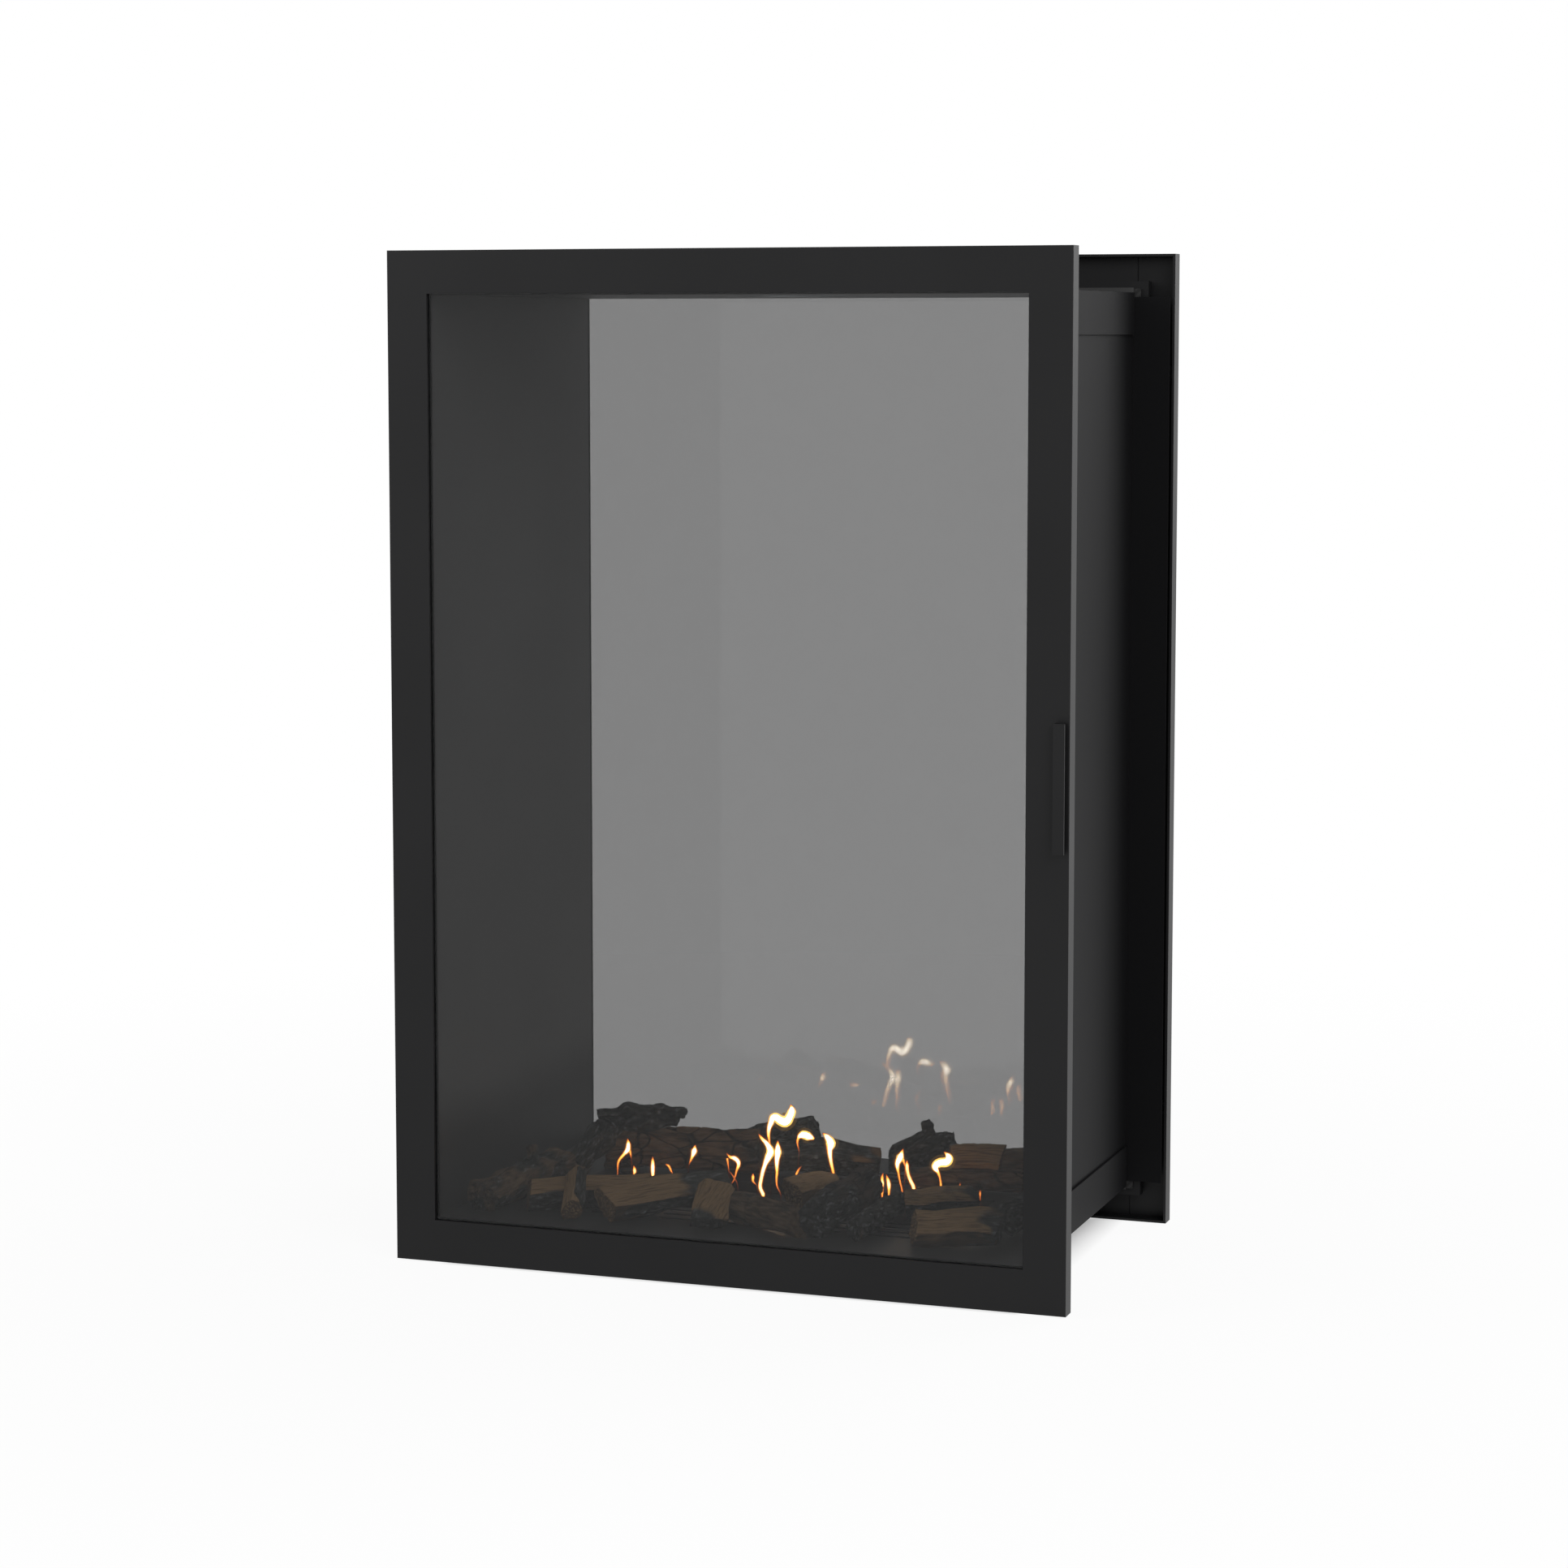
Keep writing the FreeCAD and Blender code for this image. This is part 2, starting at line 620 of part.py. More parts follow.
bottom_paper = lap("bottom_paper", floor_low, paper_low, paper_out, wall_out,
                   pan_low + skirt_height - 6, pan_half - 2)
bottom_pan = lap("bottom_pan", paper_low, pan_low, pan_out, paper_out, pan_low + skirt_height, pan_half)
bottom_sheets = ((bottom_paper, floor_low, paper_thickness), (bottom_pan, paper_low, pan_sheet))
for body, high, sheet_size in bottom_sheets:
    hole = sketch_on(body, "XY_Plane", body.Name + "_hole", high)
    rectangle(hole, burner_length / 2 - 10, burner_width / 2 - 10)
    circles(hole, rail_screws, 2.5)
    band_low = slot_start - slot_width
    band_high = slot_start + slot_row_pitch * (slot_rows - 1) + slot_width
    band_x = slot_pitch * (slot_columns - 1) / 2 + slot_length / 2
    for way in (-1, 1):
        profile(hole, [(-band_x, band_low * way), (band_x, band_low * way),
                       (band_x, band_high * way), (-band_x, band_high * way)])
    pocket(body, hole, sheet_size)
    keep(body.Name, body)


# Flue collar: a short tube with a flange screwed down through pan, paper and ceiling
collar_top = floor_gap + frame_height - 2
collar_tube = rod("collar_tube", flue_radius, collar_top - ceiling_low, 0, 0, ceiling_low)
collar_flange = rod("collar_flange", flue_radius + flue_flange, flue_sheet, 0, 0, pan_high)
collar_bore = rod("collar_bore", flue_radius - flue_sheet, collar_top - ceiling_low + 2,
                  0, 0, ceiling_low - 1)
collar_holes = []
for number, (x, y) in enumerate(flue_screws):
    collar_holes.append(rod(f"collar_hole_{number}", 2, 10, x, y, pan_high - 4))
collar_solid = fuse("collar_solid", [collar_tube, collar_flange])
collar_tools = fuse("collar_tools", [collar_bore] + collar_holes)
keep("flue_collar", cut("flue_collar", collar_solid, collar_tools))

# Base rails: two channels below the bottom pan, open towards the middle
rail = show_body("rail_master")
rail_side = sketch_on(rail, "YZ_Plane", "rail_side", -rail_length / 2)
rail_out = -(rail_spacing + rail_width) / 2
rail_in = -(rail_spacing - rail_width) / 2
profile(rail_side, [
    (rail_in, 0), (rail_out, 0), (rail_out, pan_low), (rail_in, pan_low), (rail_in, pan_low - rail_sheet),
    (rail_out + rail_sheet, pan_low - rail_sheet), (rail_out + rail_sheet, rail_sheet), (rail_in, rail_sheet),
])
pad(rail, rail_side, rail_length)
rail_bolts = sketch_on(rail, "XY_Plane", "rail_bolts", rail_sheet)
rail_bolt_x, rail_bolt_y = rail_bolt_spacing / 2, -rail_spacing / 2
circles(rail_bolts, [(-rail_bolt_x, rail_bolt_y), (rail_bolt_x, rail_bolt_y)], 4.5)
pocket(rail, rail_bolts, rail_sheet)
rail_tops = sketch_on(rail, "XY_Plane", "rail_tops", pan_low)
circles(rail_tops, [(x, y) for x, y in rail_screws if y.value < 0], 2.5)
pocket(rail, rail_tops, rail_sheet)
half_turn = FreeCAD.Placement(V(0, 0, 0), FreeCAD.Rotation(V(0, 0, 1), 180))
keep("base_rails", repeat("base_rails", rail, [move(), half_turn]))

# Screws of the casing: six through the flue flange, four up through the rails
flue_head = rod("flue_head", 3.5, 2, 0, 0, pan_high + flue_sheet)
flue_shank = rod("flue_shank", 2, pan_high + flue_sheet - ceiling_low, 0, 0, ceiling_low)
flue_screw = fuse("flue_screw", [flue_head, flue_shank])
rail_head = rod("rail_head", 4.5, 3, 0, 0, pan_low - rail_sheet - 3)
rail_shank = rod("rail_shank", 2.5, floor_low - pan_low + rail_sheet, 0, 0, pan_low - rail_sheet)
rail_screw = fuse("rail_screw", [rail_head, rail_shank])
doc.recompute()
screw_copies = []
for master, spots in ((flue_screw, flue_screws), (rail_screw, rail_screws)):
    for x, y in spots:
        copy = master.Shape.copy()
        copy.translate(V(x.value, y.value, 0))
        screw_copies.append(copy)
casing_screws = doc.addObject("Part::Feature", "casing_screws")
casing_screws.Shape = Part.makeCompound(screw_copies)
keep("casing_screws", casing_screws)

# Burner trough: a pressed tray let into the floor, with two rows of gas ports
deck_sheet = dim(1.5)
deck_high = floor_top + deck_sheet
trough = show_body("burner_trough")
deck = sketch_on(trough, "XY_Plane", "deck_outline", floor_top)
rectangle(deck, burner_length / 2, burner_width / 2)
pad(trough, deck, deck_sheet)
trough_low = deck_high - trough_depth - deck_sheet
well = sketch_on(trough, "XY_Plane", "trough_outline", trough_low)
rectangle(well, trough_length / 2, trough_width / 2)
pad(trough, well, floor_top - trough_low)
well_inside = sketch_on(trough, "XY_Plane", "trough_inside", deck_high)
rectangle(well_inside, trough_length / 2 - deck_sheet, trough_width / 2 - deck_sheet)
pocket(trough, well_inside, trough_depth)
port_columns = 13
port_pitch = trough_length / (port_columns + 1)
for row_name, way in (("front_ports", -1), ("rear_ports", 1)):
    port = sketch_on(trough, "XY_Plane", row_name, deck_high - trough_depth)
    circles(port, [(-port_pitch * (port_columns - 1) / 2, trough_width * 0.25 * way)], 2.5)
    opened = pocket(trough, port, deck_sheet)
    along = trough.newObject("PartDesign::LinearPattern", row_name + "_row")
    along.Originals = [opened]
    along.Direction = (port, ["H_Axis"])
    along.Length = port_pitch.value * (port_columns - 1)
    along.setExpression("Length", (port_pitch * (port_columns - 1)).text)
    along.Occurrences = port_columns
    trough.Tip = along
keep("burner_trough", trough)

# Burner plenum: the closed gas box below the trough, flanged under the bottom pan
plenum = show_body("burner_plenum")
plenum_x = burner_length / 2 - 13
plenum_y = burner_width / 2 - 13
plenum_low = dim(10)
shell = sketch_on(plenum, "XY_Plane", "plenum_outline", plenum_low)
rectangle(shell, plenum_x, plenum_y)
pad(plenum, shell, pan_low - plenum_low)
rim = sketch_on(plenum, "XY_Plane", "plenum_rim", pan_low - deck_sheet)
rectangle(rim, burner_length / 2, burner_width / 2)
pad(plenum, rim, deck_sheet)
inside = sketch_on(plenum, "XY_Plane", "plenum_inside", pan_low)
rectangle(inside, plenum_x - deck_sheet, plenum_y - deck_sheet)
pocket(plenum, inside, pan_low - plenum_low - deck_sheet)
pipe_radius = size("pipe_radius", 6)
pipe_height = size("pipe_height", 24)
pipe_entry = sketch_on(plenum, "YZ_Plane", "pipe_entry", -plenum_x + 10)
circles(pipe_entry, [(0, pipe_height)], pipe_radius)
pocket(plenum, pipe_entry, 20)
keep("burner_plenum", plenum)

# Gas pipe, valve with inlet nipple, and pilot
valve_right = -plenum_x - 50
pipe_tube = rod("pipe_tube", pipe_radius, 72, valve_right, 0, pipe_height, "x")
pipe_bore = rod("pipe_bore", pipe_radius - 1.5, 70, valve_right - 1, 0, pipe_height, "x")
pipe_jet = rod("pipe_jet", 1, 10, valve_right + 65, 0, pipe_height, "x")
pipe_tools = fuse("pipe_tools", [pipe_bore, pipe_jet])
keep("gas_pipe", cut("gas_pipe", pipe_tube, pipe_tools))

valve_body = block("valve_body", valve_right - 38, valve_right, -20, 20, pipe_height - 12, pipe_height + 12)
valve_bracket = block("valve_bracket", valve_right - 28, valve_right - 8, -14, 14, pipe_height + 12, pan_low)
nipple = rod("nipple", 8, 20, valve_right - 58, 0, pipe_height, "x")
actuator = rod("actuator", 10, 18, valve_right - 19, 20, pipe_height, "y")
valve_solid = fuse("valve_solid", [valve_body, valve_bracket, nipple, actuator])
nipple_bore = rod("nipple_bore", 5.5, 24, valve_right - 59, 0, pipe_height, "x")
keep("gas_valve", cut("gas_valve", valve_solid, nipple_bore))

pilot_x = -burner_length / 3
pilot_y = -(burner_width / 2 - trough_side_margin / 2)
pilot_foot = block("pilot_foot", pilot_x - 14, pilot_x + 14, pilot_y - 6, pilot_y + 6,
                   deck_high, deck_high + 2)
pilot_tube = rod("pilot_tube", 3, 20, pilot_x - 6, pilot_y, deck_high + 1)
pilot_hood = rod("pilot_hood", 5, 9, pilot_x - 6, pilot_y, deck_high + 19)
pilot_spark = rod("pilot_spark", 1.5, 24, pilot_x + 4, pilot_y, deck_high + 1)
pilot_probe = rod("pilot_probe", 2.2, 22, pilot_x + 10, pilot_y, deck_high + 1)
keep("pilot", fuse("pilot", [pilot_foot, pilot_tube, pilot_hood, pilot_spark, pilot_probe]))


def log_solid(path, full_width, full_height, seed, split=None, taper=(1, 1, 1), corner_count=9):
    """Rough log: rings of nine corners along a path, split flat where asked, closed by triangles.

    The taper gives the thickness at the first end, the middle and the far end as shares of the full one.
    """
    corners = [V(*p) for p in path]
    points = [corners[0]]
    for number, (here, there) in enumerate(zip(corners, corners[1:])):
        bow = V(0, 0, 0.05 * full_height * math.sin(seed * 1.3 + number * 2.1))
        points += [(here + there) / 2 + bow, there]
    rings = []
    count = len(points)
    for index, middle in enumerate(points):
        ahead = points[min(index + 1, count - 1)] - points[max(index - 1, 0)]
        ahead.normalize()
        side = ahead.cross(V(0, 0, 1))
        if side.Length < 0.2:
            side = V(1, 0, 0)
        side.normalize()
        upward = side.cross(ahead)
        share = 2 * index / (count - 1)
        if share < 1:
            thickness = taper[0] + (taper[1] - taper[0]) * share
        else:
            thickness = taper[1] + (taper[2] - taper[1]) * (share - 1)
        width, height = full_width * thickness, full_height * thickness
        outline = []
        for corner in range(corner_count):
            angle = 2 * math.pi * corner / corner_count
            rough = 1 + 0.09 * math.sin(seed * 1.7 + corner * 2.3 + index * 1.1)
            rough += 0.05 * math.cos(seed + corner * 4.1)
            across = math.cos(angle) * width / 2 * rough
            lift = math.sin(angle) * height / 2 * rough
            if split is not None:
                slope = math.radians(split)
                reach = across * math.cos(slope) + lift * math.sin(slope)
                limit = 0.24 * min(width, height)
                if reach > limit:
                    across -= (reach - limit) * math.cos(slope)
                    lift -= (reach - limit) * math.sin(slope)
            slant = 0.0
            if index in (0, count - 1):
                slant = 0.10 * width * math.sin(seed * 2.9 + corner * 0.7 + index)
            outline.append(middle + side * across + upward * lift + ahead * slant)
        rings.append(outline)
    faces = []

    def triangle(a, b, c):
        faces.append(Part.Face(Part.makePolygon([a, b, c, a])))

    for low, high in zip(rings, rings[1:]):
        for corner in range(corner_count):
            follow = (corner + 1) % corner_count
            triangle(low[corner], low[follow], high[follow])
            triangle(low[corner], high[follow], high[corner])
    for outline in (rings[0], rings[-1]):
        middle = V(0, 0, 0)
        for point in outline:
            middle = middle + point
        middle = middle / corner_count
        for corner in range(corner_count):
            triangle(outline[corner], outline[(corner + 1) % corner_count], middle)
    solid = Part.Solid(Part.Shell(faces))
    if solid.Volume < 0:
        solid.reverse()
    return solid


# Logs in the order they are laid. Each path is in millimetres, with the height above the floor.
logs = [
    ("log_left_slab", [(-270, -168, 17), (-258, -100, 20), (-242, -30, 24)], 38, 36, 1, None),
    ("log_front_left", [(-228, -147, 18), (-172, -112, 19), (-118, -84, 18)], 36, 38, 2, 75),
    ("log_front_mid", [(-137, -166, 19), (-92, -121, 23), (-44, -75, 27)], 41, 38, 3, 62),
    ("log_brown", [(-20, -120, 15), (26, -144, 16), (66, -164, 15)], 32, 31, 4, None),
    ("log_block", [(26, -74, 18), (42, -60, 20), (62, -46, 19)], 36, 54, 5, 80),
    ("log_char_stick", [(121, -162, 11), (126, -104, 13), (130, -44, 14)], 23, 25, 6, None),
    ("log_big_char", [(83, -165, 18), (91, -114, 25), (100, -58, 31)], 38, 41, 7, None),
    ("log_right_mid", [(140, -58, 17), (170, -44, 19), (204, -28, 18)], 34, 39, 8, 75),
    ("log_front_right", [(180, -160, 20), (220, -150, 22), (262, -139, 20)], 45, 37, 9, 60),
    ("log_right_char", [(254, -98, 17), (264, -76, 18), (276, -52, 17)], 34, 36, 10, None),
    ("log_rear_long", [(-224, 50, 21), (-146, 72, 23), (-66, 94, 22)], 38, 46, 11, None),
    ("log_rear_mid", [(-46, 96, 20), (4, 106, 22), (57, 116, 16)], 36, 45, 12, 65),
    ("log_rear_right", [(64, 130, 15), (94, 144, 20), (128, 158, 26)], 37, 42, 13, None),
    ("log_right_base", [(110, 60, 12), (162, 76, 13), (220, 92, 12)], 32, 26, 14, None),
    ("log_left_stub", [(-173, -172, 12), (-179, -149, 24), (-187, -123, 38)], 27, 26, 15, 150),
    ("log_mid_stub", [(-27, -170, 14), (-31, -148, 26), (-35, -124, 38)], 38, 31, 16, 75),
    ("log_left_lean", [(-242, 12, 15), (-229, 30, 35), (-218, 46, 52)], 29, 31, 17, None),
    ("log_left_top", [(-234, 56, 50), (-192, 62, 57), (-148, 66, 58)], 27, 30, 18, None),
    ("log_rear_top", [(-104, 126, 17), (-60, 122, 30), (-14, 117, 42)], 36, 38, 19, None),
    ("log_right_cut", [(146, 78, 34), (171, 82, 36), (198, 88, 35)], 29, 31, 20, 40),
    ("log_right_far", [(196, 94, 31), (221, 100, 33), (246, 105, 35)], 26, 26, 21, None),
]
stacked = ("log_left_top", "log_right_cut", "log_right_far")
tapers = {
    "log_left_top": (1.0, 1.0, 0.62),
    "log_rear_mid": (1.0, 1.0, 0.74),
    "log_rear_right": (0.72, 1.0, 0.74),
    "log_front_mid": (1.0, 1.0, 0.86),
}
twigs = {
    "log_left_top": ([(-164, 65, 64), (-152, 66, 65), (-141, 67, 63)], 10, 9, 33),
    "log_left_slab": ([(-257, -86, 28), (-252, -82, 42), (-254, -80, 53)], 13, 13, 31),
    "log_rear_right": ([(98, 146, 24), (101, 147, 38), (99, 148, 50)], 13, 13, 32),
}

doc.recompute()
floor_level = floor_top.value
ground_block = Part.makeBox(frame_width.value, overall_depth.value, floor_level,
                            V(-frame_width.value / 2, -half_depth.value, 0))
deck_block = Part.makeBox(burner_length.value, burner_width.value, deck_high.value,
                          V(-burner_length.value / 2, -burner_width.value / 2, 0))
# No log comes nearer to the pilot than this
pilot_clearance = 2
pilot_corner = V(pilot_x.value - 14 - pilot_clearance, pilot_y.value - 6 - pilot_clearance, deck_high.value)
pilot_room = Part.makeBox(28 + pilot_clearance * 2, 12 + pilot_clearance * 2, 30, pilot_corner)
# The log set is laid out for a box 603 mm wide and 372 mm deep inside, and spreads with it
spread_x = liner_x.value / 301.5
spread_y = seat_y.value / 186


def lay(path):
    return [(x * spread_x, y * spread_y, z + floor_level) for x, y, z in path]


laid = []
for name, path, width, height, seed, split in logs:
    solid = log_solid(lay(path), width, height, seed, split, tapers.get(name, (1, 1, 1)))
    if name in twigs:
        twig_path, twig_width, twig_height, twig_seed = twigs[name]
        twig = log_solid(lay(twig_path), twig_width, twig_height, twig_seed)
        solid = solid.fuse(twig)
    if name not in stacked:
        solid.translate(V(0, 0, floor_level - 1.0 - solid.BoundBox.ZMin))
    tools = [ground_block, deck_block, pilot_room]
    for other in laid:
        if other.BoundBox.intersect(solid.BoundBox):
            tools.append(other)
    solid = solid.cut(tools)
    solid = max(solid.Solids, key=lambda s: s.Volume)
    laid.append(solid)
    log = doc.addObject("Part::Feature", name)
    log.Shape = solid
    keep(name, log)

doc.recompute()
faults = []
for obj in doc.Objects:
    if "Invalid" in obj.State or "Error" in obj.State:
        faults.append(obj.Name)
for name, obj in nodes.items():
    if not obj.Shape.isValid() or not obj.Shape.Solids:
        faults.append(name)
if faults:
    raise RuntimeError("not built: " + ", ".join(faults))
os.makedirs("parts", exist_ok=True)
for name, obj in nodes.items():
    obj.Shape.exportStep(f"parts/{name}.step")
box = Part.makeCompound([obj.Shape for obj in nodes.values()]).BoundBox
print(len(nodes), "nodes", box)
for name, obj in nodes.items():
    b = obj.Shape.BoundBox
    print(f"{name:22s} {len(obj.Shape.Solids)} {obj.Shape.Volume / 1000:9.1f}  "
          f"x {b.XMin:.1f} {b.XMax:.1f}  y {b.YMin:.1f} {b.YMax:.1f}  z {b.ZMin:.1f} {b.ZMax:.1f}")
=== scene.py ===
# %% [markdown]
# # A double-sided gas log fireplace
# The real object is a tall black steel box with a glass door on both sides. Between the doors lies
# a heap of cast ceramic logs on a slotted floor, and gas flames rise from a trough in the middle.
# The CAD model gives every rigid piece. This lesson adds the finishes, carves the logs, lights the
# fire and sets up the studio.

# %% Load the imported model
import json
import math

import bmesh
import bpy
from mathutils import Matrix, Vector, noise


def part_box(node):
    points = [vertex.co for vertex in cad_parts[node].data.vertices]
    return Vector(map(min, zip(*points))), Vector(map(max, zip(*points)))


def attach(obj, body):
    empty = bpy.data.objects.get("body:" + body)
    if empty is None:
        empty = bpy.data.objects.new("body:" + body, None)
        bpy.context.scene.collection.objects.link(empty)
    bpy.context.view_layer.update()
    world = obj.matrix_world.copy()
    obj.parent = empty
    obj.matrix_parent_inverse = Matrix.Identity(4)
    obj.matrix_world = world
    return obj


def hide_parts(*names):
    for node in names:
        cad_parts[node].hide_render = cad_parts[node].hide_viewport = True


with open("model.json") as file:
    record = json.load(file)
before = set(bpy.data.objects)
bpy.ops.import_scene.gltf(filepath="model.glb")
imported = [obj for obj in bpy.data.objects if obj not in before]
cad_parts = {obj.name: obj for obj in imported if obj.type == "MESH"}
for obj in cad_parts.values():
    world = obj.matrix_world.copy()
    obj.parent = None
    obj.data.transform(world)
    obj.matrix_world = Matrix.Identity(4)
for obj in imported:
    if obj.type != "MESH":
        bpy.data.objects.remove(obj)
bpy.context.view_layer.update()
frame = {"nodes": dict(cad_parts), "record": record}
nodes = frame["nodes"]

# %% [markdown]
# ## Small helpers for materials
# Every finish below is a small graph of nodes. It could be wired by hand in the editor, but a script
# gives the same graph each time and can be read as a recipe. Colours are written as the sRGB hex
# values that a colour picker shows. Blender's sockets want linear light, so one function converts
# them. A second one adds a node, sets it and links it.

# %% Colour and node helpers


def srgb(hex_code):
    """Linear RGBA of an sRGB colour such as '#2c2c2c'."""
    channels = [int(hex_code[i:i + 2], 16) / 255 for i in (1, 3, 5)]
    linear = [c / 12.92 if c <= 0.04045 else ((c + 0.055) / 1.055) ** 2.4 for c in channels]
    return (*linear, 1.0)


def add(tree, kind, inputs=None, stops=None, **settings):
    """Add a node; an input is a value or another node's output, stops are a ramp's (position, hex)."""
    node = tree.nodes.new(kind)
    for name, value in settings.items():
        setattr(node, name, value)
    for name, value in (inputs or {}).items():
        if isinstance(value, bpy.types.NodeSocket):
            tree.links.new(value, node.inputs[name])
        else:
            node.inputs[name].default_value = value
    if stops:
        elements = node.color_ramp.elements
        while len(elements) < len(stops):
            elements.new(0.5)
        for element, (position, hex_code) in zip(elements, stops):
            element.position = position
            element.color = srgb(hex_code)
    return node


def new_material(name):
    """Material with one Principled shader; returns material, tree, shader."""
    material = bpy.data.materials.new(name)
    material.use_nodes = True
    tree = material.node_tree
    return material, tree, tree.nodes["Principled BSDF"]


def per_mm(millimetres):
    """Texture scale whose features are about this size, with coordinates in metres."""
    return 1000.0 / millimetres


print("mid grey in linear light:", round(srgb("#808080")[0], 3))

# %% [markdown]
# ## Painted sheet steel
# The frames, pulls and casing are folded sheet steel, sprayed and baked. Sprayed powder melts into a
# skin with a faint orange peel about a millimetre across, so the gloss is broken up, not the colour.
# One flat colour would do from afar, but large plain sheets then look like plastic. So one function
# adds the peel as bump and lets colour and gloss drift slowly, and each paint is one call of it.

# %% Powder coat, stove paint and enamel
drift_mm = 180
peel_strength = 0.25
glossier, duller = 0.05, 0.06


def painted_steel(name, dark, light, roughness, sheen, peel_mm, peel_depth):
    """Painted sheet with a fine peel, slight colour drift and uneven gloss."""
    material, tree, shader = new_material(name)
    place = add(tree, "ShaderNodeTexCoord").outputs["Object"]
    drift_pattern = {"Vector": place, "Scale": per_mm(drift_mm), "Detail": 3.0}
    drift = add(tree, "ShaderNodeTexNoise", drift_pattern).outputs["Fac"]
    colour = add(tree, "ShaderNodeValToRGB", {"Fac": drift}, stops=[(0.35, dark), (0.65, light)])
    gloss_range = {"Value": drift, "To Min": roughness - glossier, "To Max": roughness + duller}
    gloss = add(tree, "ShaderNodeMapRange", gloss_range)
    peel_pattern = {"Vector": place, "Scale": per_mm(peel_mm), "Detail": 2.0}
    peel = add(tree, "ShaderNodeTexNoise", peel_pattern).outputs["Fac"]
    relief = {"Height": peel, "Strength": peel_strength, "Distance": peel_depth}
    bump = add(tree, "ShaderNodeBump", relief)
    tree.links.new(colour.outputs["Color"], shader.inputs["Base Color"])
    tree.links.new(gloss.outputs["Result"], shader.inputs["Roughness"])
    tree.links.new(bump.outputs["Normal"], shader.inputs["Normal"])
    shader.inputs["Specular IOR Level"].default_value = sheen
    return material


# Sprayed powder, baked: satin black with soft broad highlights along the folds
powder_coat = painted_steel("black powder-coated steel", "#141415", "#171718",
                            roughness=0.42, sheen=0.20, peel_mm=1.6, peel_depth=0.00010)
# Sprayed thin on what the wall will hide: almost no shine
casing_paint = painted_steel("matt black casing paint", "#141415", "#181819",
                             roughness=0.52, sheen=0.05, peel_mm=1.6, peel_depth=0.00008)
# Heat-proof paint, finer and greyer: a dull charcoal
stove_paint = painted_steel("charcoal stove paint", "#363636", "#3c3c3c",
                            roughness=0.50, sheen=0.24, peel_mm=0.9, peel_depth=0.00005)
# Fired enamel dulled by the flame: black with long flat waves
burner_enamel = painted_steel("black enamelled burner steel", "#1c1c1c", "#222222",
                              roughness=0.52, sheen=0.20, peel_mm=2.5, peel_depth=0.00006)
print("paints:", [m.name for m in (powder_coat, casing_paint, stove_paint, burner_enamel)])

# %% [markdown]
# ### Two paints on one wall
# Each side wall is one sheet: charcoal stove paint towards the fire, with painted shade low behind
# the logs, and black on its outside. Two materials would need a split mesh, and the CAD meshes stay
# as they are. So one material asks how far a point lies from the middle of the box, and how high it is.

# %% Two paints on one wall
inside_roughness = 0.34
outside_roughness = 0.50
paint_skin = 0.0007
# Painted shade: below these heights the inside colour darkens, standing for the shade and dark reflection of
# the log heap
shade_full_height = 0.110
shade_end_height = 0.175
shade_keeps = 0.42


def two_sided_wall():
    """Stove paint on the face towards the fire, darkened low behind the logs as painted shade; black on
    every other face.
    """
    material = painted_steel("liner wall paint", "#595959", "#5e5e5e", roughness=inside_roughness,
                             sheen=0.05, peel_mm=1.4, peel_depth=0.00002)
    tree = material.node_tree
    shader = tree.nodes["Principled BSDF"]
    inside_colour = shader.inputs["Base Color"].links[0].from_socket
    place = add(tree, "ShaderNodeTexCoord").outputs["Object"]
    axes = add(tree, "ShaderNodeSeparateXYZ", {"Vector": place})
    shade_range = {"Value": axes.outputs["Z"], "From Min": shade_full_height, "From Max": shade_end_height,
                  "To Min": shade_keeps, "To Max": 1.0}
    unshaded = add(tree, "ShaderNodeMapRange", shade_range, interpolation_type="SMOOTHSTEP")
    # Painted shade: the inside colour is scaled down low on the wall, behind the logs
    shaded_inside = add(tree, "ShaderNodeVectorMath", {0: inside_colour}, operation="SCALE")
    tree.links.new(unshaded.outputs["Result"], shaded_inside.inputs["Scale"])
    reach = add(tree, "ShaderNodeMath", {0: axes.outputs["X"]}, operation="ABSOLUTE").outputs["Value"]
    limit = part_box("liner_right_wall")[0].x + paint_skin
    outside = add(tree, "ShaderNodeMath", {0: reach, 1: limit}, operation="GREATER_THAN").outputs["Value"]
    colour = add(tree, "ShaderNodeMix", {"Factor": outside}, data_type="RGBA")
    tree.links.new(shaded_inside.outputs["Vector"], colour.inputs["A"])
    colour.inputs["B"].default_value = srgb("#161617")
    gloss_range = {"Value": outside, "To Min": inside_roughness, "To Max": outside_roughness}
    gloss = add(tree, "ShaderNodeMapRange", gloss_range)
    tree.links.new(colour.outputs["Result"], shader.inputs["Base Color"])
    tree.links.new(gloss.outputs["Result"], shader.inputs["Roughness"])
    return material


# Smooth grey that catches the light of the panes, black and dull outside
wall_paint = two_sided_wall()
print("made:", wall_paint.name)

# %% [markdown]
# ## Fire glass
# The panes are polished, grey-tinted glass ceramic, 4 mm thick, and each passes about half the
# light. A transmission shader could show that, but light through two such panes comes out noisy. So
# a pane is a dark mirror-smooth surface that is partly clear: it has two faces, and each gets the
# alpha that multiplies up to the light that passes. The rear pane mirrors the fire more strongly, as
# glass with a heat-mirror coat does, so the flames stand in it a second time. Its higher IOR stands
# for that coat.

# %% Fire glass
pane_passes = 0.44
face_alpha = 1 - math.sqrt(pane_passes)
plain_ior = 1.55
coated_ior = 2.25


def fire_glass(name, mirror_ior):
    """Polished grey pane; its two faces together pass pane_passes of the light."""
    material, _, shader = new_material(name)
    shader.inputs["Base Color"].default_value = srgb("#0d0e0f")
    shader.inputs["Roughness"].default_value = 0.0
    shader.inputs["IOR"].default_value = mirror_ior
    shader.inputs["Alpha"].default_value = face_alpha
    material.surface_render_method = "BLENDED"
    return material


# Clear grey with a faint mirror image
glass = fire_glass("grey-tinted fire glass", plain_ior)
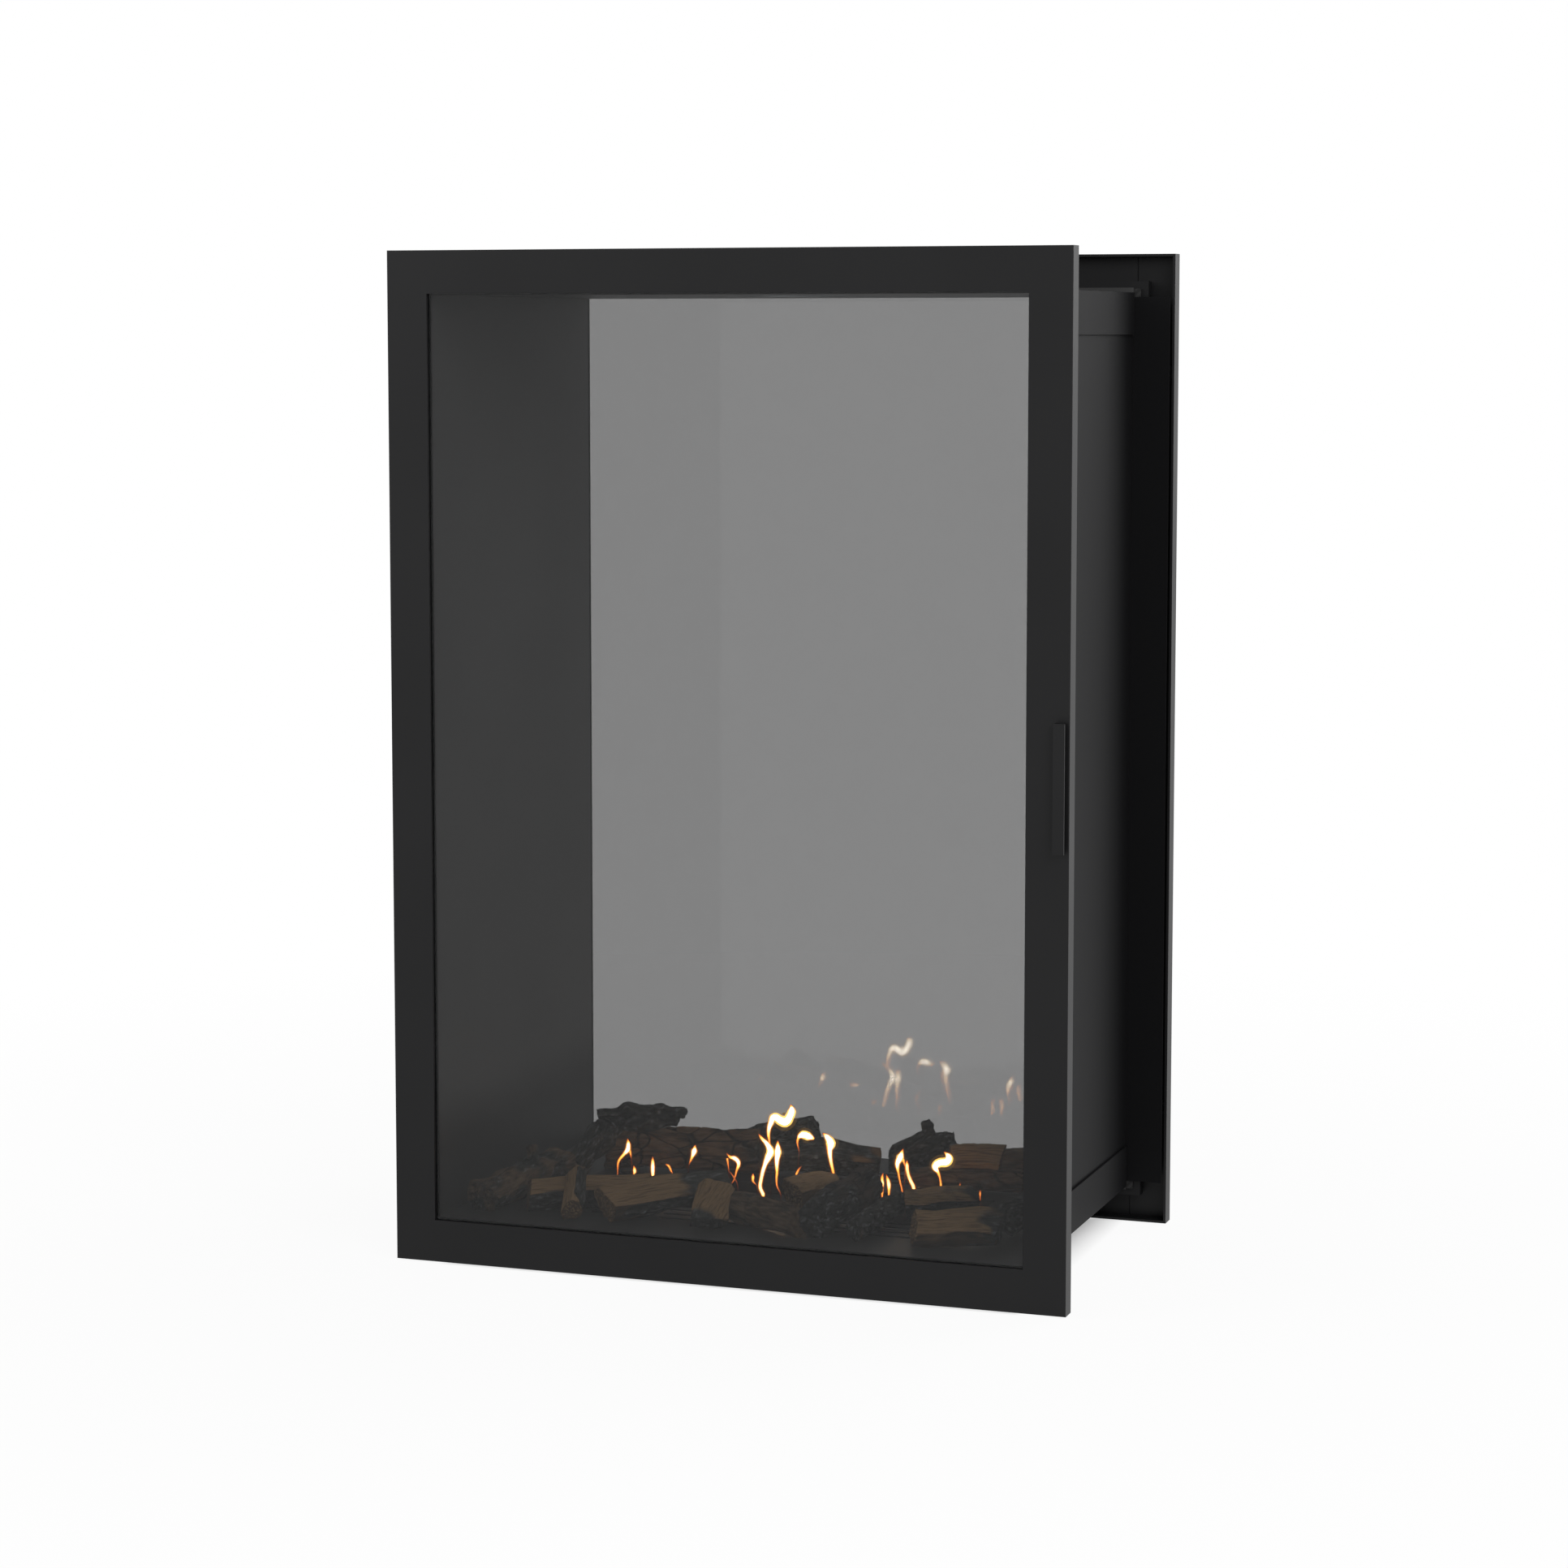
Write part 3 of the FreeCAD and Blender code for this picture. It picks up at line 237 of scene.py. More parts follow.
# The same grey with a plain mirror image of the fire
mirror_glass = fire_glass("grey-tinted fire glass, heat-mirror coated", coated_ior)
print("alpha of one face:", round(face_alpha, 3))

# %% [markdown]
# ## The small finishes
# Screws and strikes are zinc-plated, the flue collar is galvanised, the valve is die-cast and the
# pipe is drawn brass. The pilot sits in the fire, so its steel is scaled dark. Seals are black
# glass-fibre rope with a visible twist, and white ceramic paper lies between the sheets. Their
# surfaces could be modelled, but all are small or hidden, so an uneven gloss or a pattern of strands
# is enough to tell them apart.

# %% Plated metal and brass
metal_glossier, metal_duller = 0.08, 0.10


def bright_metal(name, hex_code, roughness, grain_mm):
    """Bare or plated metal with a fine uneven gloss."""
    material, tree, shader = new_material(name)
    place = add(tree, "ShaderNodeTexCoord").outputs["Object"]
    grain_pattern = {"Vector": place, "Scale": per_mm(grain_mm), "Detail": 4.0}
    grain = add(tree, "ShaderNodeTexNoise", grain_pattern).outputs["Fac"]
    gloss_range = {"Value": grain, "To Min": roughness - metal_glossier, "To Max": roughness + metal_duller}
    gloss = add(tree, "ShaderNodeMapRange", gloss_range)
    shader.inputs["Base Color"].default_value = srgb(hex_code)
    shader.inputs["Metallic"].default_value = 1.0
    tree.links.new(gloss.outputs["Result"], shader.inputs["Roughness"])
    return material


# Plated: small bright glints
zinc = bright_metal("zinc-plated steel", "#c3c6c8", roughness=0.32, grain_mm=2.0)
# Hot-dipped: dull grey with soft patches
galvanised = bright_metal("dull galvanised steel", "#85888a", roughness=0.52, grain_mm=6.0)
# Bead-blasted: an even silvery bloom
alloy = bright_metal("bead-blasted die-cast alloy", "#b4b6b8", roughness=0.50, grain_mm=0.8)
# Drawn: smooth and golden
brass = bright_metal("drawn brass", "#c9a24e", roughness=0.26, grain_mm=1.2)
# Burnt over and over: brown-black and without shine
scaled_steel = painted_steel("heat-scaled pilot steel", "#24211f", "#302c29",
                             roughness=0.70, sheen=0.10, peel_mm=0.8, peel_depth=0.00005)
print("metals:", [m.name for m in (zinc, galvanised, alloy, brass, scaled_steel)])

# %% Rope, paper and magnet case
# A wave texture at scale 1 has about this many bands in a metre
bands_at_scale_one = 6.3
twist_strength, twist_depth = 0.6, 0.0004
case_grain_mm = 0.7


def fibre(name, dark, light, strand_mm, slope):
    """Matt fibre whose strands run aslant."""
    material, tree, shader = new_material(name)
    place = add(tree, "ShaderNodeTexCoord").outputs["Object"]
    turned = add(tree, "ShaderNodeMapping", {"Vector": place, "Rotation": (0.0, slope, 0.0)})
    wave = {"Vector": turned.outputs["Vector"], "Scale": per_mm(strand_mm) / bands_at_scale_one,
            "Distortion": 1.5, "Detail": 2.0}
    strands = add(tree, "ShaderNodeTexWave", wave, bands_direction="Z").outputs["Fac"]
    colour = add(tree, "ShaderNodeValToRGB", {"Fac": strands}, stops=[(0.2, dark), (0.8, light)])
    relief = {"Height": strands, "Strength": twist_strength, "Distance": twist_depth}
    bump = add(tree, "ShaderNodeBump", relief)
    tree.links.new(colour.outputs["Color"], shader.inputs["Base Color"])
    tree.links.new(bump.outputs["Normal"], shader.inputs["Normal"])
    shader.inputs["Roughness"].default_value = 0.92
    return material


def moulded_case():
    """Injection-moulded plastic with a fine even grain."""
    material, tree, shader = new_material("black moulded polyamide")
    place = add(tree, "ShaderNodeTexCoord").outputs["Object"]
    grain = add(tree, "ShaderNodeTexNoise", {"Vector": place, "Scale": per_mm(case_grain_mm)})
    relief = {"Height": grain.outputs["Fac"], "Strength": 0.3, "Distance": 0.0001}
    bump = add(tree, "ShaderNodeBump", relief)
    tree.links.new(bump.outputs["Normal"], shader.inputs["Normal"])
    shader.inputs["Base Color"].default_value = srgb("#1b1b1c")
    shader.inputs["Roughness"].default_value = 0.55
    return material


# Twisted yarn: black with slanting grey threads
rope = fibre("black glass-fibre rope", "#0d0d0d", "#242424", strand_mm=3.0, slope=0.8)
# Felted: chalky white with faint long fibres
paper = fibre("white ceramic-fibre paper", "#cfcbc1", "#e6e2d8", strand_mm=2.0, slope=0.3)
# Moulded: soft black with a dull grain
magnet_case = moulded_case()
print("soft and moulded:", [m.name for m in (rope, paper, magnet_case)])

# %% [markdown]
# ## Every CAD piece gets its finish
# The record names a material slot for each piece. Finishes could be given piece by piece, but most
# follow from the slot alone, which leaves less to get wrong. A few pieces differ from the rest of
# their slot and are named. The logs wait for their carving.

# %% Give every CAD piece its finish
slot_finish = {
    "black_steel": powder_coat, "liner_steel": stove_paint, "fire_glass": glass, "rope_seal": rope,
    "ceramic_paper": paper, "zinc_steel": zinc, "magnet_case": magnet_case, "burner_steel": burner_enamel,
    "pipe_brass": brass, "valve_alloy": alloy,
}
special_finish = {
    "liner_left_wall": wall_paint, "liner_right_wall": wall_paint,
    "top_pan": casing_paint, "bottom_pan": casing_paint, "base_rails": casing_paint,
    "front_hinge_arms": casing_paint, "rear_hinge_arms": casing_paint,
    "rear_glass": mirror_glass, "pilot": scaled_steel, "flue_collar": galvanised,
}
log_slots = {}
for entry in frame["record"]["subparts"]:
    node, slot_name = entry["node"], entry["material_slot"]
    if slot_name not in slot_finish:
        log_slots[node] = slot_name
        continue
    finish = special_finish.get(node, slot_finish[slot_name])
    nodes[node].data.materials.clear()
    nodes[node].data.materials.append(finish)
print("painted", len(nodes) - len(log_slots), "pieces; logs:", len(log_slots))

# %% [markdown]
# ## Ceramic logs
# The logs are cast in ceramic fibre from real wood, then sprayed: pale on split faces, brown on
# bark, black where the fire seems to have eaten them. They could be sculpted one by one. Here every
# log starts as its CAD solid, and noise stretched along its own grain carves it, because one rule then
# gives many different logs, and the same logs on every run. The same rule writes down what is bark,
# split face, cut end and char, for the colours.

# %% What each log looks like
# face: where the pale split face looks, in degrees from the log's front side up over its top
# edge: how square a surface must stand to that direction before it counts as split (a cosine)
# char: how burnt the first end, the middle and the far end are; 1 is black, below 0 is spared
# under: extra burning on the bark; ends: how pale the two cut ends are; lump: knobs in millimetres
# plates: how deeply the bark is parted into plates, 0 to 1
log_looks = {
    "log_left_slab": dict(char=(0.45, 0.50, 0.55), ends=(0.0, 0.0), lump=2.4, seed=1),
    "log_front_left": dict(face=80, edge=0.50, char=(0.0, 0.05, 0.15), under=0.8, ends=(0.3, 0.0), seed=2),
    "log_front_mid": dict(face=65, edge=0.25, char=(-0.2, 0.25, 1.0), under=0.5, ends=(0.8, 0.0), seed=3),
    "log_brown": dict(char=(0.45, 0.20, 0.10), ends=(0.0, 0.15), lump=2.0, plates=0.4, seed=4),
    "log_block": dict(face=80, edge=0.45, char=(-0.1, 0.0, 0.2), ends=(0.8, 0.5), seed=5),
    "log_char_stick": dict(char=(0.7, 1.0, 1.0), ends=(0.35, 0.0), lump=2.2, seed=6),
    "log_big_char": dict(char=(0.75, 0.45, 0.40), lump=2.6, plates=0.9, seed=7),
    "log_right_mid": dict(face=80, edge=0.40, char=(0.25, 0.35, 0.8), under=0.5, ends=(0.2, 0.0), seed=8),
    "log_front_right": dict(face=60, edge=0.15, char=(-0.2, -0.1, 0.75), under=0.3, ends=(1.0, 0.0), seed=9),
    "log_right_char": dict(char=(1.0, 1.0, 1.0), lump=2.4, seed=10),
    "log_rear_long": dict(char=(0.0, 0.05, 0.45), ends=(0.45, 0.0), lump=2.2, plates=0.9, seed=11),
    "log_rear_mid": dict(face=60, edge=0.45, char=(1.0, 0.9, 0.4), under=0.3, ends=(0.0, 0.4),
                         lump=2.2, seed=12),
    "log_rear_right": dict(char=(1.0, 0.95, 0.95), lump=6.0, seed=13),
    "log_right_base": dict(char=(0.45, 0.25, 0.25), lump=2.0, plates=0.6, seed=14),
    "log_left_stub": dict(face=150, edge=0.05, char=(-0.1, 0.1, 0.3), under=1.0, ends=(0.8, 0.0), seed=15),
    "log_mid_stub": dict(face=75, edge=0.00, char=(0.9, 0.05, -0.1), under=0.3, ends=(0.0, 0.2), seed=16),
    "log_left_lean": dict(char=(0.6, 0.7, 1.0), lump=6.0, seed=17),
    "log_left_top": dict(char=(0.95, 0.95, 1.0), lump=9.0, seed=18),
    "log_rear_top": dict(char=(1.0, 1.0, 1.0), lump=6.0, seed=19),
    "log_right_cut": dict(face=40, edge=0.10, char=(0.3, -0.1, -0.2), under=0.2, ends=(0.5, 0.6), seed=20),
    "log_right_far": dict(char=(0.10, 0.05, 0.05), ends=(0.2, 0.3), seed=21),
}
print("logs described:", len(log_looks))

# %% [markdown]
# ### An even skin, and the way the grain runs
# A CAD log has few large facets, which cannot carry bark. They could be subdivided, but would keep
# their long thin triangles. A voxel remesh of a copy gives small faces of one size, and the CAD solid
# itself stays as it is. The grain runs the way the log is longest, found by turning a guess towards
# it again and again.

# %% Skin and axis of a log
voxel = 0.0009
weld_distance = 1e-5
smooth_rounds = 6
axis_rounds = 30


def even_skin(node):
    """Copy of a CAD solid as one closed mesh of small even faces."""
    mesh = bpy.data.meshes.new(node + "_skin")
    copy = bmesh.new()
    copy.from_mesh(nodes[node].data)
    bmesh.ops.remove_doubles(copy, verts=copy.verts, dist=weld_distance)
    copy.to_mesh(mesh)
    copy.free()
    carrier = bpy.data.objects.new(node + "_carrier", mesh)
    bpy.context.scene.collection.objects.link(carrier)
    remesh = carrier.modifiers.new("Even skin", "REMESH")
    remesh.mode = "VOXEL"
    remesh.voxel_size = voxel
    smooth = carrier.modifiers.new("Soften steps", "SMOOTH")
    smooth.factor = 0.5
    smooth.iterations = smooth_rounds
    evaluated = carrier.evaluated_get(bpy.context.evaluated_depsgraph_get())
    skin = bpy.data.meshes.new_from_object(evaluated)
    bpy.data.objects.remove(carrier)
    return skin


def log_axes(node):
    """Middle of a log and its long, side and upward directions."""
    points = [v.co.copy() for v in nodes[node].data.vertices]
    low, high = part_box(node)
    middle = (low + high) / 2
    along = Vector((1.0, 0.3, 0.1))
    for _ in range(axis_rounds):
        total = Vector()
        for point in points:
            offset = point - middle
            total += offset * offset.dot(along)
        along = total.normalized()
    if along.x + along.y < 0:
        along = -along
    side = along.cross(Vector((0, 0, 1))).normalized()
    return middle, along, side, side.cross(along)


print("grain of log_brown runs along", tuple(round(c, 2) for c in log_axes("log_brown")[1]))

# %% [markdown]
# ### Carving
# Bark, split face and cut end are told apart by the way a point of the skin looks. Each has its own
# relief: ridges and knobs on bark, long fibres and steps on a split face, splinters on a cut end.
# Burnt bark is cracked into small cells, and old bark is parted into plates. Bump could fake this,
# but the edge of a log against the light would stay smooth, so the points themselves are moved. They
# move by a few millimetres at most, so that each log stays where its CAD solid rests.

# %% The patterns
# Waves in a metre of each pattern, along the grain and across it
burn_waves = (38, 60)
lump_waves = (26, 42)
ridge_waves = (24, 110)
fibre_waves = (14, 330)
step_waves = (9, 90)
splinter_waves = (60, 160)
crack_waves = (55, 150)
plate_waves = (26, 48)
# Cracks run crooked: how often and how far they bend, as shares of a cell
bend_waves, bend_reach = 0.9, 0.8
other_bend = Vector((7, 3, 5))
seam_core = 0.02


def smoothstep(low, high, value):
    """Soft step from 0 at low to 1 at high."""
    share = min(1.0, max(0.0, (value - low) / (high - low)))
    return share * share * (3 - 2 * share)


def on_grain(spot, waves):
    """Place in a pattern of a spot given as metres along the grain, sideways and upwards."""
    a, s, u = spot
    return Vector((a * waves[0], s * waves[1], u * waves[1]))


def cell_edge(place, width):
    """1 on the seams between the cells of a cracked pattern, 0 away from them."""
    swirl = place * bend_waves
    bend = Vector((noise.noise(swirl), noise.noise(swirl + other_bend), 0.0))
    nearest, second = noise.voronoi(place + bend * bend_reach)[0][:2]
    return 1 - smoothstep(seam_core, width, second - nearest)


def along_log(values, share):
    """Value at a share of the length, from those at the first end, the middle and the far end."""
    first, second, third = values
    if share > 0.5:
        return second + (third - second) * (share * 2 - 1)
    return first + (second - first) * min(1, share * 2)


print("split fibres are about", round(1000 / fibre_waves[1], 1), "mm apart across the grain")

# %% Relief of bark, split face and cut end
# How squarely a point must look along the grain to count as cut end, as cosines
end_starts, end_full = 0.60, 0.85
split_blend = 0.2
# Depths in metres
ridge_depth = 0.0013
split_fibre, split_step, split_splinter = 0.0006, 0.0014, 0.0005
end_fibre, end_splinter = 0.0007, 0.0018
# Bark ridges are a fractal: its dimension, frequency step, octaves, offset and gain
ridge_fractal = (0.9, 2.1, 4, 0.9, 2.0)
# Small knobs on the knobs: how much finer and how much lower
small_knob_step, small_knob_share = 2.3, 0.5


def kinds_of_wood(normal, along, split_way, edge):
    """How far a point belongs to a cut end, a split face and bark, from the way it looks."""
    cut_end = smoothstep(end_starts, end_full, abs(normal.dot(along)))
    split = 0.0 if split_way is None else smoothstep(edge, edge + split_blend, normal.dot(split_way))
    split *= 1 - cut_end
    return cut_end, split, (1 - split) * (1 - cut_end)


def relief(spot, shift, cut_end, split, bark, lump):
    """Height of ridges, knobs, fibres and splinters at a spot, in metres."""
    coarse = on_grain(spot, lump_waves) + shift
    lumps = noise.noise(coarse) + small_knob_share * noise.noise(coarse * small_knob_step)
    ridges = noise.ridged_multi_fractal(on_grain(spot, ridge_waves) + shift, *ridge_fractal) - 1.0
    fibres = noise.noise(on_grain(spot, fibre_waves) + shift)
    steps = noise.noise(on_grain(spot, step_waves) - shift)
    splinter = noise.noise(on_grain(spot, splinter_waves) - shift)
    rise = bark * (ridge_depth * ridges + 0.001 * lump * lumps)
    rise += split * (split_fibre * fibres + split_step * steps + split_splinter * splinter)
    rise += cut_end * (end_fibre * fibres + end_splinter * splinter)
    return rise


# %% Carve one log
burn_starts, burn_full = 0.35, 0.62
burn_patches = 0.45
pale_end_spared = 0.5
crack_width, seam_width = 0.14, 0.09
crack_depth, seam_depth = 0.0012, 0.0016
crack_blackness = 0.6
deepest_cut, highest_rise = -0.0070, 0.0042


def write_kinds(skin, spots, kinds):
    """Keep the grain's coordinates and the kinds of wood as attributes of the mesh."""
    grain = skin.attributes.new("grain", "FLOAT_VECTOR", "POINT")
    grain.data.foreach_set("vector", [c for spot in spots for c in spot])
    for index, key in enumerate(("char", "split", "cut_end", "crack")):
        values = skin.attributes.new(key, "FLOAT", "POINT")
        values.data.foreach_set("value", [kind[index] for kind in kinds])


def carve_log(node, char, seed, face=None, edge=0.5, under=0.0, ends=(0.0, 0.0), lump=1.5, plates=0.0):
    """Rough skin for one log, with attributes that say char, split, cut end and crack."""
    skin = even_skin(node)
    middle, along, side, upward = log_axes(node)
    reach = max(abs((v.co - middle).dot(along)) for v in skin.vertices)
    split_way = None
    if face is not None:
        split_way = side * math.cos(math.radians(face)) + upward * math.sin(math.radians(face))
    shift = Vector((seed * 3.1, seed * 1.7, seed * 0.9))
    spots, kinds, moves = [], [], []
    for vertex in skin.vertices:
        offset = vertex.co - middle
        normal = vertex.normal
        spot = (offset.dot(along), offset.dot(side), offset.dot(upward))
        share = (spot[0] / reach + 1) / 2
        cut_end, split, bark = kinds_of_wood(normal, along, split_way, edge)
        pale_end = cut_end * (ends[0] if share < 0.5 else ends[1])
        burnt = along_log(char, share)
        burnt += burn_patches * noise.noise(on_grain(spot, burn_waves) + shift) + under * bark
        burnt = smoothstep(burn_starts, burn_full, burnt - pale_end_spared * pale_end)
        crack = burnt * (1 - split) * cell_edge(on_grain(spot, crack_waves) + shift, crack_width)
        seam = plates * bark * cell_edge(on_grain(spot, plate_waves) - shift, seam_width)
        rise = relief(spot, shift, cut_end, split, bark, lump)
        rise -= crack_depth * crack + seam_depth * seam
        moves.append(normal * max(deepest_cut, min(highest_rise, rise)))
        spots.append(spot)
        kinds.append((burnt, split, pale_end, min(1.0, crack_blackness * crack + seam)))
    for vertex, move in zip(skin.vertices, moves):
        vertex.co += move
    write_kinds(skin, spots, kinds)
    return skin


# %% [markdown]
# ### Log colour
# The castings are sprayed by hand: pale streaked timber on split faces, speckled end grain on cut
# ends, brown furrowed bark elsewhere, and over them soot-black char with blue-grey ash along its
# ridges. The colours could be painted on each log. One shader that reads the carved attributes keeps
# colour and relief together instead, and serves all logs; the hues differ a little between the slots.

# %% Cast ceramic, coloured as wood


def cast_ceramic(name, pale, tan, bark_dark, bark_light):
    """Matt sprayed ceramic; the attributes choose between timber, bark, cut end and char."""
    material, tree, shader = new_material(name)
    grain = add(tree, "ShaderNodeAttribute", attribute_name="grain").outputs["Vector"]

    def wood_pattern(size_mm, squeeze, detail, roughness):
        """Spots of this size across the grain, drawn out along it by 1 / squeeze."""
        drawn_out = add(tree, "ShaderNodeMapping", {"Vector": grain, "Scale": (squeeze, 1.0, 1.0)})
        spots = {"Vector": drawn_out.outputs["Vector"], "Scale": per_mm(size_mm),
                 "Detail": detail, "Roughness": roughness}
        return add(tree, "ShaderNodeTexNoise", spots).outputs["Fac"]

    def over(under_colour, key, top_colour):
        """Lay a colour over another where the carved attribute says so."""
        where = add(tree, "ShaderNodeAttribute", attribute_name=key).outputs["Fac"]
        mix = add(tree, "ShaderNodeMix", {"Factor": where}, data_type="RGBA")
        tree.links.new(under_colour, mix.inputs["A"])
        tree.links.new(top_colour, mix.inputs["B"])
        return mix.outputs["Result"]

    streaks = wood_pattern(size_mm=2.2, squeeze=0.06, detail=5.0, roughness=0.62)
    furrows = wood_pattern(size_mm=5.0, squeeze=0.22, detail=6.0, roughness=0.7)
    specks = wood_pattern(size_mm=1.6, squeeze=1.0, detail=3.0, roughness=0.5)
    soot = wood_pattern(size_mm=5.0, squeeze=0.40, detail=7.0, roughness=0.75)
    timber_stops = [(0.30, tan), (0.52, pale), (0.70, tan)]
    bark_stops = [(0.36, bark_dark), (0.60, bark_light)]
    cut_stops = [(0.38, bark_light), (0.50, tan), (0.60, pale)]
    char_stops = [(0.36, "#232322"), (0.53, "#42433f"), (0.67, "#7e8285")]
    timber = add(tree, "ShaderNodeValToRGB", {"Fac": streaks}, stops=timber_stops)
    bark = add(tree, "ShaderNodeValToRGB", {"Fac": furrows}, stops=bark_stops)
    cut = add(tree, "ShaderNodeValToRGB", {"Fac": specks}, stops=cut_stops)
    char = add(tree, "ShaderNodeValToRGB", {"Fac": soot}, stops=char_stops)
    black = add(tree, "ShaderNodeRGB").outputs["Color"]
    black.default_value = srgb("#120f0d")
    colour = over(bark.outputs["Color"], "split", timber.outputs["Color"])
    colour = over(colour, "cut_end", cut.outputs["Color"])
    colour = over(colour, "char", char.outputs["Color"])
    colour = over(colour, "crack", black)
    fine = add(tree, "ShaderNodeMath", {0: streaks, 1: furrows}, operation="ADD").outputs["Value"]
    bump = add(tree, "ShaderNodeBump", {"Height": fine, "Strength": 0.9, "Distance": 0.0014})
    tree.links.new(colour, shader.inputs["Base Color"])
    tree.links.new(bump.outputs["Normal"], shader.inputs["Normal"])
    shader.inputs["Roughness"].default_value = 0.88
    shader.inputs["Specular IOR Level"].default_value = 0.25
    return material


# Cast and sprayed: chalky and dry, with wood only in its colours; paler, browner and blacker
log_finish = {
    "log_split": cast_ceramic("cast ceramic, split timber", "#a58763", "#5f4a35", "#2e251e", "#5f4d3c"),
    "log_bark": cast_ceramic("cast ceramic, bark", "#957755", "#54402d", "#372d25", "#73604c"),
    "log_char": cast_ceramic("cast ceramic, charred", "#866846", "#543f2b", "#26211d", "#4d4239"),
}
print("log finishes:", [m.name for m in log_finish.values()])

# %% Carve and colour every log
for node, look in log_looks.items():
    log = bpy.data.objects.new(node + "_carved", carve_log(node, **look))
    log.data.materials.append(log_finish[log_slots[node]])
    log.data.polygons.foreach_set("use_smooth", [True] * len(log.data.polygons))
    bpy.context.scene.collection.objects.link(log)
    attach(log, "casing")
    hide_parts(node)
    print(node, len(log.data.polygons))

# %% [markdown]
# ## Flames
# A gas flame is no solid, so the CAD has none. It could be a simulated cloud, but a cloud cannot be
# exported as a mesh. So each flame is drawn as a rising line that sways and curls, thick at its belly
# and drawn out to a point. Geometry Nodes sweep a ring along all the lines at once and press the
# tubes flat. Three nested skins give a white heart, an orange body and a dim red edge on every side.

# %% Where the flames stand
# Every strand runs from its root to its tip, close to the middle plane of the burner.
# A point is: place across, height, width of the flame there, all in millimetres.
flames = [
    [(-191, 58, 1.5), (-190, 68, 2.7), (-184, 76, 3.6), (-180, 81, 5.8), (-179, 87, 5.0), (-180, 93, 0.8)],
    [(-177, 71, 0.8), (-178, 77, 2.6), (-180, 83, 4.0)],
    [(-171, 57, 3.4), (-171, 61, 4.2), (-172, 66, 0.8)],
    [(-152, 60, 4.6), (-152, 66, 4.8), (-152, 71, 3.6), (-152, 76, 0.8)],
    [(-131, 58, 0.8), (-133, 62, 2.4), (-136, 67, 2.8), (-139, 68, 1.2)],
    [(-111, 70, 0.6), (-108, 78, 3.0), (-105, 86, 6.6), (-104, 92, 1.4)],
    [(-102, 56, 2.0), (-102, 60, 3.4), (-103, 63, 0.6)],
    [(-67, 52, 0.8), (-64, 57, 1.6), (-61, 67, 2.4), (-59, 76, 5.0), (-63, 80, 5.2),
     (-68, 81, 3.2), (-72, 85, 0.8)],
    [(-58, 55, 0.8), (-62, 62, 1.6), (-66, 67, 1.0)],
    [(-68, 64, 0.6), (-69, 73, 1.8), (-70, 80, 2.8)],
    [(-39, 53, 0.8), (-43, 58, 2.6), (-43, 62, 3.6), (-43, 66, 0.8)],
    [(-30, 46, 4.4), (-33, 53, 4.4), (-32, 62, 4.2), (-28, 77, 5.0), (-24, 86, 7.6), (-22, 91, 8.6),
     (-25, 98, 5.8), (-32, 105, 3.4), (-35, 109, 0.8)],
    [(-12, 47, 0.8), (-16, 56, 2.0), (-16, 70, 3.2), (-16, 82, 5.4), (-15, 91, 7.8),
     (-15, 97, 5.0), (-15, 103, 0.8)],
    [(-24, 92, 1.0), (-26, 111, 4.2), (-23, 121, 6.6), (-20, 126, 8.0), (-13, 123, 10.4), (-8, 122, 11.0),
     (-3, 128, 9.0), (-1, 134, 8.4), (-2, 140, 1.6)],
    [(8, 78, 0.5), (9, 92, 0.7), (8, 107, 3.0), (13, 111, 8.4), (19, 110, 8.6), (25, 108, 3.0)],
    [(47, 59, 1.0), (45, 73, 2.8), (42, 86, 4.2), (41, 97, 5.6), (42, 104, 10.0),
     (38, 110, 6.4), (33, 114, 0.8)],
    [(42, 64, 0.6), (41, 80, 1.2), (38, 95, 2.8), (38, 103, 4.4)],
    [(8, 61, 1.8), (6, 68, 2.8), (8, 74, 2.4), (12, 79, 0.6)],
    [(34, 58, 2.6), (34, 61, 3.4), (34, 66, 0.6)],
    [(96, 60, 3.2), (96, 66, 4.4), (96, 72, 3.0), (97, 77, 0.8)],
    [(105, 60, 3.0), (105, 66, 4.6), (104, 71, 4.0), (102, 77, 0.8)],
    [(118, 61, 2.0), (116, 69, 2.2), (114, 79, 2.6), (113, 88, 5.4), (116, 95, 7.6), (119, 104, 0.8)],
    [(119, 63, 0.6), (120, 74, 0.9), (120, 85, 1.4), (118, 92, 3.4)],
    [(131, 66, 4.2), (128, 72, 4.2), (125, 80, 3.8), (124, 88, 4.2), (124, 93, 1.0)],
    [(159, 67, 3.0), (158, 76, 2.2), (156, 82, 3.4), (153, 88, 7.8), (157, 92, 8.8),
     (165, 94, 9.4), (167, 98, 8.6), (162, 104, 0.8)],
    [(179, 62, 2.4), (178, 67, 3.0), (178, 73, 0.6)],
    [(194, 47, 0.8), (194, 56, 3.8), (192, 66, 4.2), (191, 72, 1.0)],
    [(200, 61, 1.6), (200, 64, 2.4), (200, 68, 0.6)],
]
port_height = 40
thread_width = 0.25
flame_depths = (0.000, 0.003, -0.003)


def flame_lines():
    """All strands as one curve; each starts as a hair-thin thread at the burner ports."""
    curve = bpy.data.curves.new("flame_lines", "CURVE")
    curve.dimensions = "3D"
    curve.resolution_u = 10
    for number, strand in enumerate(flames):
        line = curve.splines.new("BEZIER")
        line.bezier_points.add(len(strand))
        depth = flame_depths[number % len(flame_depths)]
        points = [(strand[0][0], port_height, thread_width)] + strand
        for point, (x, z, width) in zip(line.bezier_points, points):
            point.co = (x / 1000, depth, z / 1000)
            point.radius = width / 2000
            point.handle_left_type = "AUTO"
            point.handle_right_type = "AUTO"
    holder = bpy.data.objects.new("flame_lines", curve)
    bpy.context.scene.collection.objects.link(holder)
    return holder


lines = flame_lines()
print("strands:", len(lines.data.splines))

